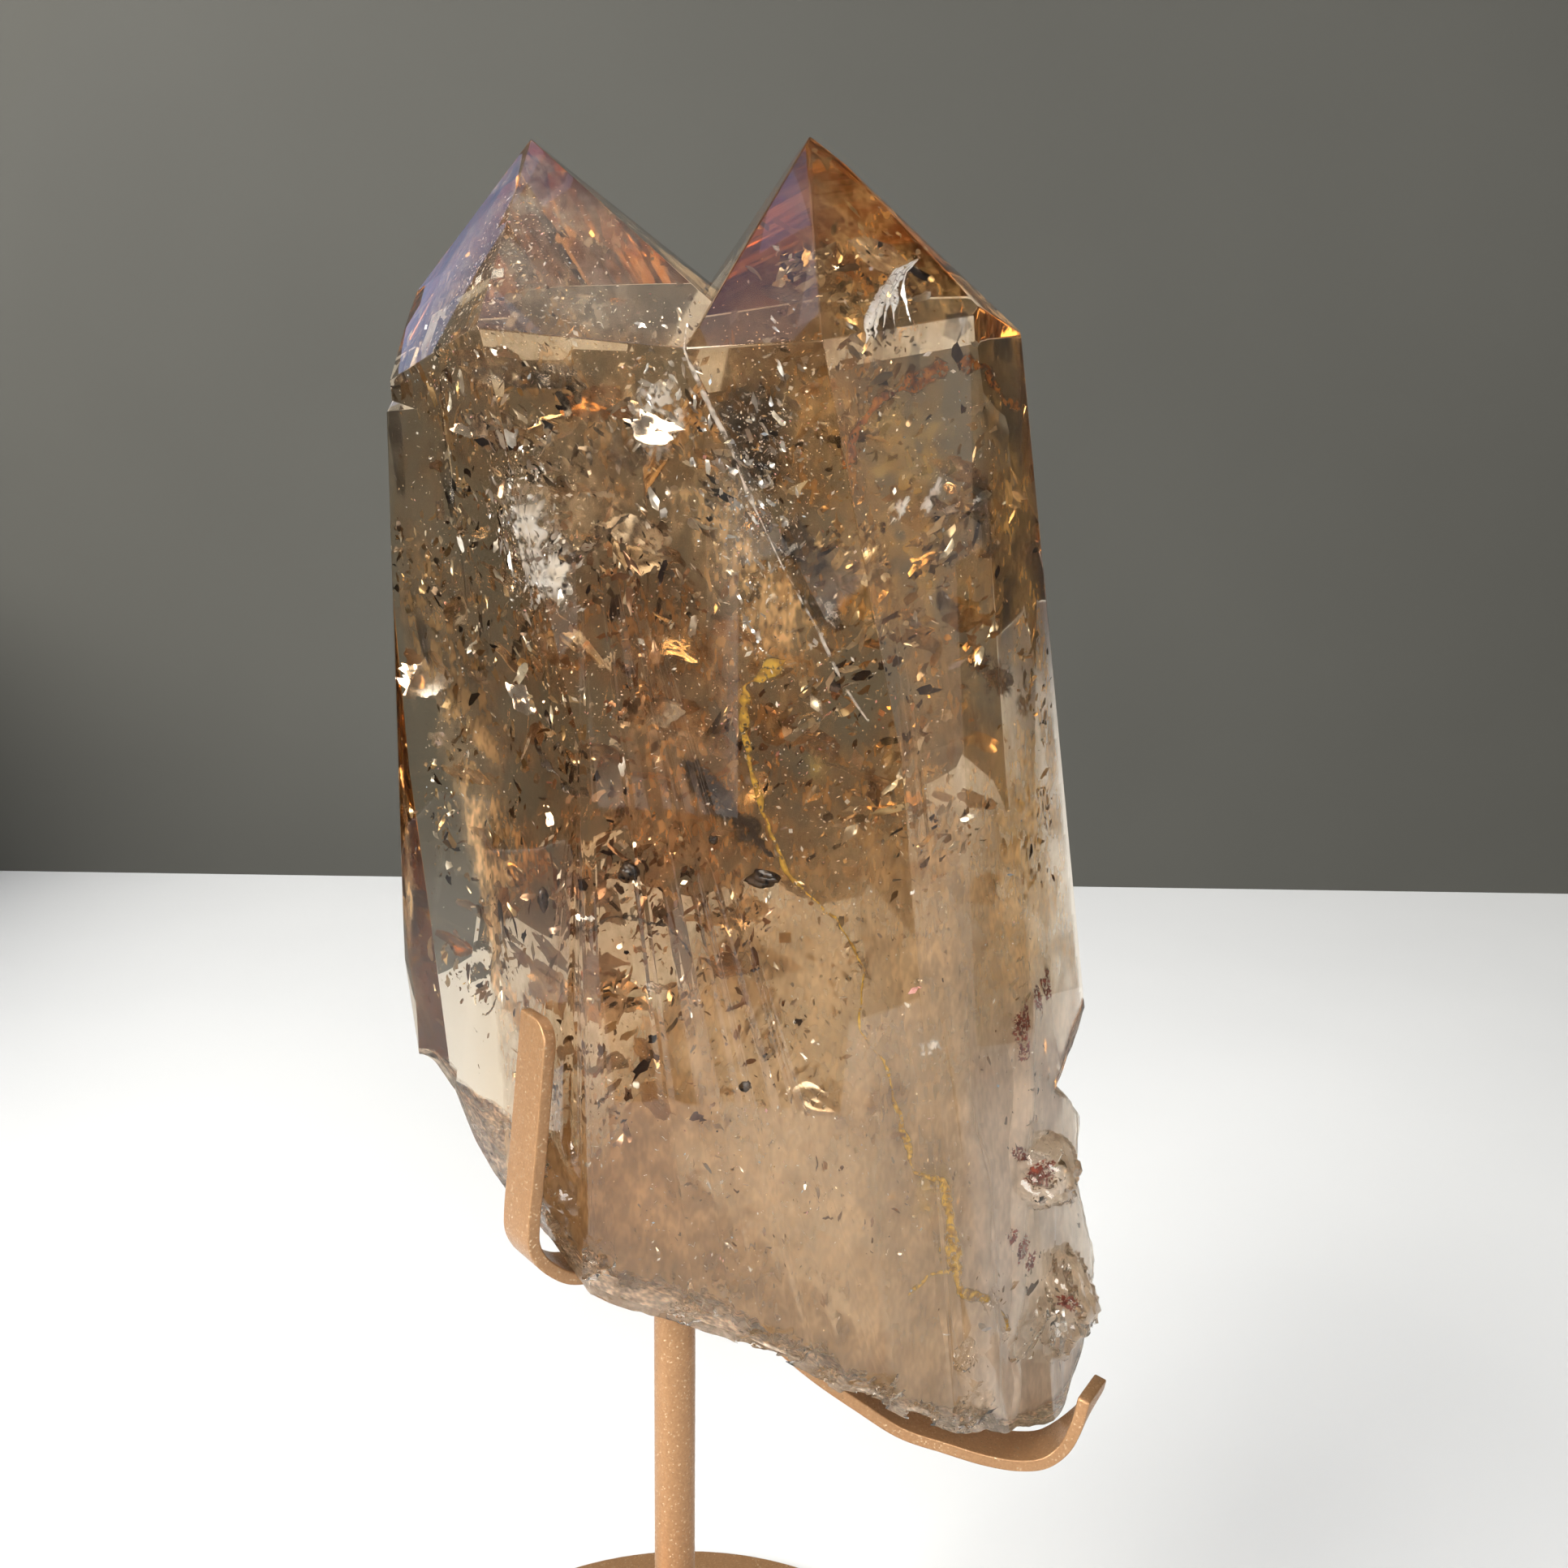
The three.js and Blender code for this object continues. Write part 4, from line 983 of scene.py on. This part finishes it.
white = grown_finish("white_fracture", (0.80, 0.76, 0.70), (1.0, 1.0, 1.0), 700, 0.3, 1.0, wisps=(0.30, 0.42))
for k, lean in enumerate((-0.1, 0.12, 0.34, 0.62, 0.95)):
    blade = [(x + lean * (302.6 - z) * 0.55, y - 0.1 * k, z + 0.25 * lean * (302.6 - z)) for x, y, z in WHITE_BLADE]
    ribbon(f"white_blade_{k}", blade, (0.9, 0.8, 0.6, 0.5, 0.35)[k], 34 + k, white, ragged=0.7, wander=0.12,
           swell=((0, 0.4), (0.25, 1.1), (0.6, 0.8), (1, 0.2)))
iron = grown_finish("iron_stain", (0.34, 0.18, 0.02), (0.74, 0.46, 0.06), 700, 0.4, 1.0, wisps=(0.33, 0.47))
ribbon("iron_vein", IRON_VEIN, 0.75, 12, iron, 0.8,
       swell=((0, 2.0), (0.06, 1.7), (0.12, 0.8), (0.3, 0.35), (0.5, 0.3), (0.6, 0.6), (0.75, 1.2), (0.83, 2.3), (0.9, 1.1), (1, 1.3)))
ribbon("iron_branch", IRON_BRANCH, 0.8, 13, iron)
rust = grown_finish("rust", (0.12, 0.035, 0.006), (0.42, 0.15, 0.018), 600, 0.5, 1.0, wisps=(0.36, 0.48))
ribbon("rust_arc", RUST_ARC, 1.0, 14, rust, ragged=0.9)
pale = grown_finish("pale_seam", (0.75, 0.66, 0.58), (1.0, 0.95, 0.88), 300, 0.3, 0.8, wisps=(0.36, 0.62))
ribbon("seam_line", SEAM, 0.36, 15, pale, ragged=0.9, wander=0.05, swell=((0, 0.4), (0.3, 1), (0.6, 0.5), (0.8, 0.8), (1, 0.3)))
smoke = grown_finish("smoke_streak", (0.02, 0.011, 0.006), (0.08, 0.045, 0.022), 500, 0.2, 0.95, wisps=(0.36, 0.50))
for k, arc in enumerate(DARK_ARCS):
    ribbon(f"smoke_streak_{k}", arc, (0.7, 0.6, 1.3, 0.45)[k], 16 + k, smoke, ragged=1.2)
grains("dark_specks", SPECKS, 21, grown_finish("dark_mica", (0.02, 0.011, 0.006), (0.08, 0.045, 0.022), 900, 0.2))
red = grown_finish("hematite", (0.11, 0.018, 0.010), (0.32, 0.07, 0.035), 900, 0.4, 1.0, wisps=(0.42, 0.50))
patch("hematite_spots", brought_up([(x, y, z, 1.5 * wide, 1.5 * high, 20) for x, y, z, wide, high in HEMATITE], 1.2), 22, red, 0.75)
flakes("glitter_flakes", 1500, 23, fleck_finish("glitter", 0.85, 0.18))
dust = fleck_finish("silver_dust", 0.35, 0.3)
DUST = [(-38, -8, 300, 6, 3, 9, 500), (-30, -9, 307, 9, 4, 8, 500), (-16, -19, 292, 12, 2, 6, 350), (14, -21, 262, 4, 2, 16, 600), (22, -18, 274, 6, 2, 9, 420),
        (2, -17, 236, 15, 3, 16, 700), (-22, -17, 257, 5, 3, 10, 500), (-40, 0, 228, 5, 5, 40, 500), (30, -16, 215, 12, 4, 14, 450),
        (58, -4, 180, 8, 4, 22, 400), (20, -16, 150, 24, 4, 18, 700), (-24, -8, 150, 6, 6, 12, 400), (50, -10, 268, 9, 4, 12, 300)]
for k, (x, y, z, *spread, count) in enumerate(DUST):
    flakes(f"dust_{k:02d}", count, 200 + k, dust, (x, y, z), spread, (0.05, 0.06))
leaf = fleck_finish("healed_crack", 0.7, 0.18)
GOLDEN = [(1.0, 0.92, 0.74), (0.98, 0.80, 0.52), (0.62, 0.42, 0.20), (0.30, 0.19, 0.09), (0.07, 0.045, 0.025)]
BROWN = [(1.0, 0.88, 0.72), (0.62, 0.40, 0.26), (0.36, 0.19, 0.10), (0.20, 0.10, 0.05), (0.06, 0.032, 0.018)]
SILVER = [(1.0, 0.98, 0.94), (0.92, 0.85, 0.72), (0.55, 0.45, 0.33), (0.25, 0.19, 0.13), (0.05, 0.04, 0.03)]
MILKY = [(1.0, 0.90, 0.78), (0.92, 0.76, 0.58), (0.62, 0.45, 0.30), (0.45, 0.30, 0.17)]
WHITE = [(1.0, 1.0, 1.0), (0.97, 0.93, 0.87), (0.85, 0.80, 0.74)]
flecks("core_flecks", 1500, (-6, -10, 212), (19, 7, 33), (0.12, 1.3), BROWN, 41, leaf, (0.5, 0, 1))
flecks("right_flecks", 1000, (42, -8, 250), (15, 8, 30), (0.12, 1.4), GOLDEN, 42, leaf, (1, 0, 0.8))
flecks("left_flecks", 900, (-36, -2, 225), (9, 8, 38), (0.12, 1.3), GOLDEN, 43, leaf, (0.2, 0, 1))
flecks("upper_flecks", 900, (-8, -14, 266), (18, 6, 14), (0.12, 1.2), SILVER, 44, leaf, (-1, 0, 1))
flecks("foot_flecks", 1300, (28, -14, 158), (28, 6, 28), (0.10, 0.6), MILKY, 45, leaf, (-0.5, 0, 1))
flecks("strip_flecks", 500, (-44, 3, 190), (4, 7, 34), (0.12, 1.2), GOLDEN, 52, leaf, (0.2, 0, 1))
flecks("margin_flecks", 500, (66, 2, 215), (5, 8, 48), (0.12, 1.1), GOLDEN, 46, leaf, (0.2, 0, 1))
flecks("feather_flecks", 520, (-22, -18, 257), (3.2, 2.0, 7.5), (0.12, 0.9), WHITE, 47, leaf, (0.15, 0, 1))
flecks("cream_flecks", 200, (-1, -19, 277), (3.4, 1.5, 4.5), (0.12, 0.8), WHITE, 48, leaf, (-0.4, 0, 1))
flecks("seam_flecks", 420, (14, -21.5, 262), (3.0, 1.2, 13), (0.10, 0.7), WHITE, 49, leaf, (-0.5, 0, 1))
flecks("end_flecks", 600, (65, -1, 132), (8, 7, 20), (0.10, 0.9), WHITE, 51, leaf, (-0.3, 0, 1))
flecks("tip_flecks", 260, (34, -8, 296), (8, 5, 7), (0.15, 1.6), GOLDEN, 50, leaf, (1, 0, 0.7))

# Stage: plain floor and backdrop
def plane(name, corners, finish):
    made = mesh_object(name, corners, [[0, 1, 2, 3]], smooth=False)
    made.data.materials.append(finish)
    return made


plane("floor", [(-3000, -3000, 0), (3000, -3000, 0), (3000, 3000, 0), (-3000, 3000, 0)],
      plain_finish("pale_floor", (0.66, 0.685, 0.71), (0.70, 0.725, 0.75), 3, 0.6))
plane("backdrop", [(-3000, 700, 0), (3000, 700, 0), (3000, 700, 2500), (-3000, 700, 2500)],
      plain_finish("grey_backdrop", (0.047, 0.0475, 0.042), (0.058, 0.0585, 0.052), 2, 0.8))


for name, across, tall in (("left_card", -600, 240), ("right_card", 620, 280)):
    plane(name, [(across, -180, 0.5), (across, 690, 0.5), (across, 690, tall), (across, -180, tall)],
          plain_finish(f"{name}_grey", (0.035, 0.035, 0.032), (0.045, 0.045, 0.04), 4, 0.8)).visible_camera = False
plane("dark_card", [(-900, -1500, 0.5), (900, -1500, 0.5), (900, -420, 0.5), (-900, -420, 0.5)],
      plain_finish("card_black", (0.012, 0.012, 0.012), (0.02, 0.02, 0.02), 20, 0.8)).visible_camera = False


def area_light(name, place, aim, size, power, colour):
    """Soft box at a place in mm, facing another."""
    light = bpy.data.lights.new(name, "AREA")
    light.shape, light.size, light.size_y, light.energy, light.color = "RECTANGLE", *size, power, colour
    made = bpy.data.objects.new(name, light)
    made.location = np.array(place) * MM
    made.visible_camera = False
    made.rotation_euler = bpy_vector(np.array(aim, float) - place).to_track_quat("-Z", "Y").to_euler()
    bpy.context.scene.collection.objects.link(made)


area_light("key", (-1460, -720, 1350), (0, 0, 200), (1.5, 1.5), 113, (1.0, 0.95, 0.87))
area_light("sky_low_over_right_tip", (-370, -185, 1410), (5, -20, 290), (0.50, 0.34), 0.50, (0.30, 0.50, 1.0))
area_light("sky_high_over_right_tip", (-290, 40, 1470), (20, -5, 310), (0.26, 0.20), 0.14, (0.50, 0.52, 1.0))
area_light("sky_over_left_front", (-10, -170, 1480), (-10, -15, 300), (0.42, 0.40), 0.42, (0.8, 0.88, 1.0))
area_light("sky_beside_left_tip", (-500, 590, 590), (-40, 0, 300), (0.20, 0.28), 0.14, (0.42, 0.56, 1.0))
area_light("right_end", (1500, -900, 500), (60, 0, 150), (1.6, 1.6), 5, (1.0, 0.95, 0.92))
area_light("front", (300, -1500, 950), (0, 0, 200), (0.8, 0.8), 22, (1.0, 0.97, 0.93))
world = bpy.data.worlds.new("studio")
world.use_nodes = True
world.node_tree.nodes["Background"].inputs[0].default_value = (0.72, 0.74, 0.80, 1)
world.node_tree.nodes["Background"].inputs[1].default_value = 0.16
bpy.context.scene.world = world

settings = bpy.context.scene.cycles
settings.max_bounces, settings.transmission_bounces, settings.transparent_max_bounces = 5, 5, 8
settings.diffuse_bounces, settings.glossy_bounces = 2, 4
settings.use_light_tree = False
bpy.context.scene.view_settings.view_transform = "Standard"

lens = bpy.data.cameras.new("view")
lens.lens, lens.sensor_width, lens.clip_start = 36, 36, 0.01
camera = bpy.data.objects.new("view", lens)
camera.matrix_world = (Matrix.Translation(np.array([19.6, -275.0, 272.0]) * MM)
                       @ Matrix.Rotation(math.radians(78), 4, "X") @ Matrix.Rotation(math.radians(0.84), 4, "Z"))
bpy.context.scene.collection.objects.link(camera)
bpy.context.scene.camera = camera
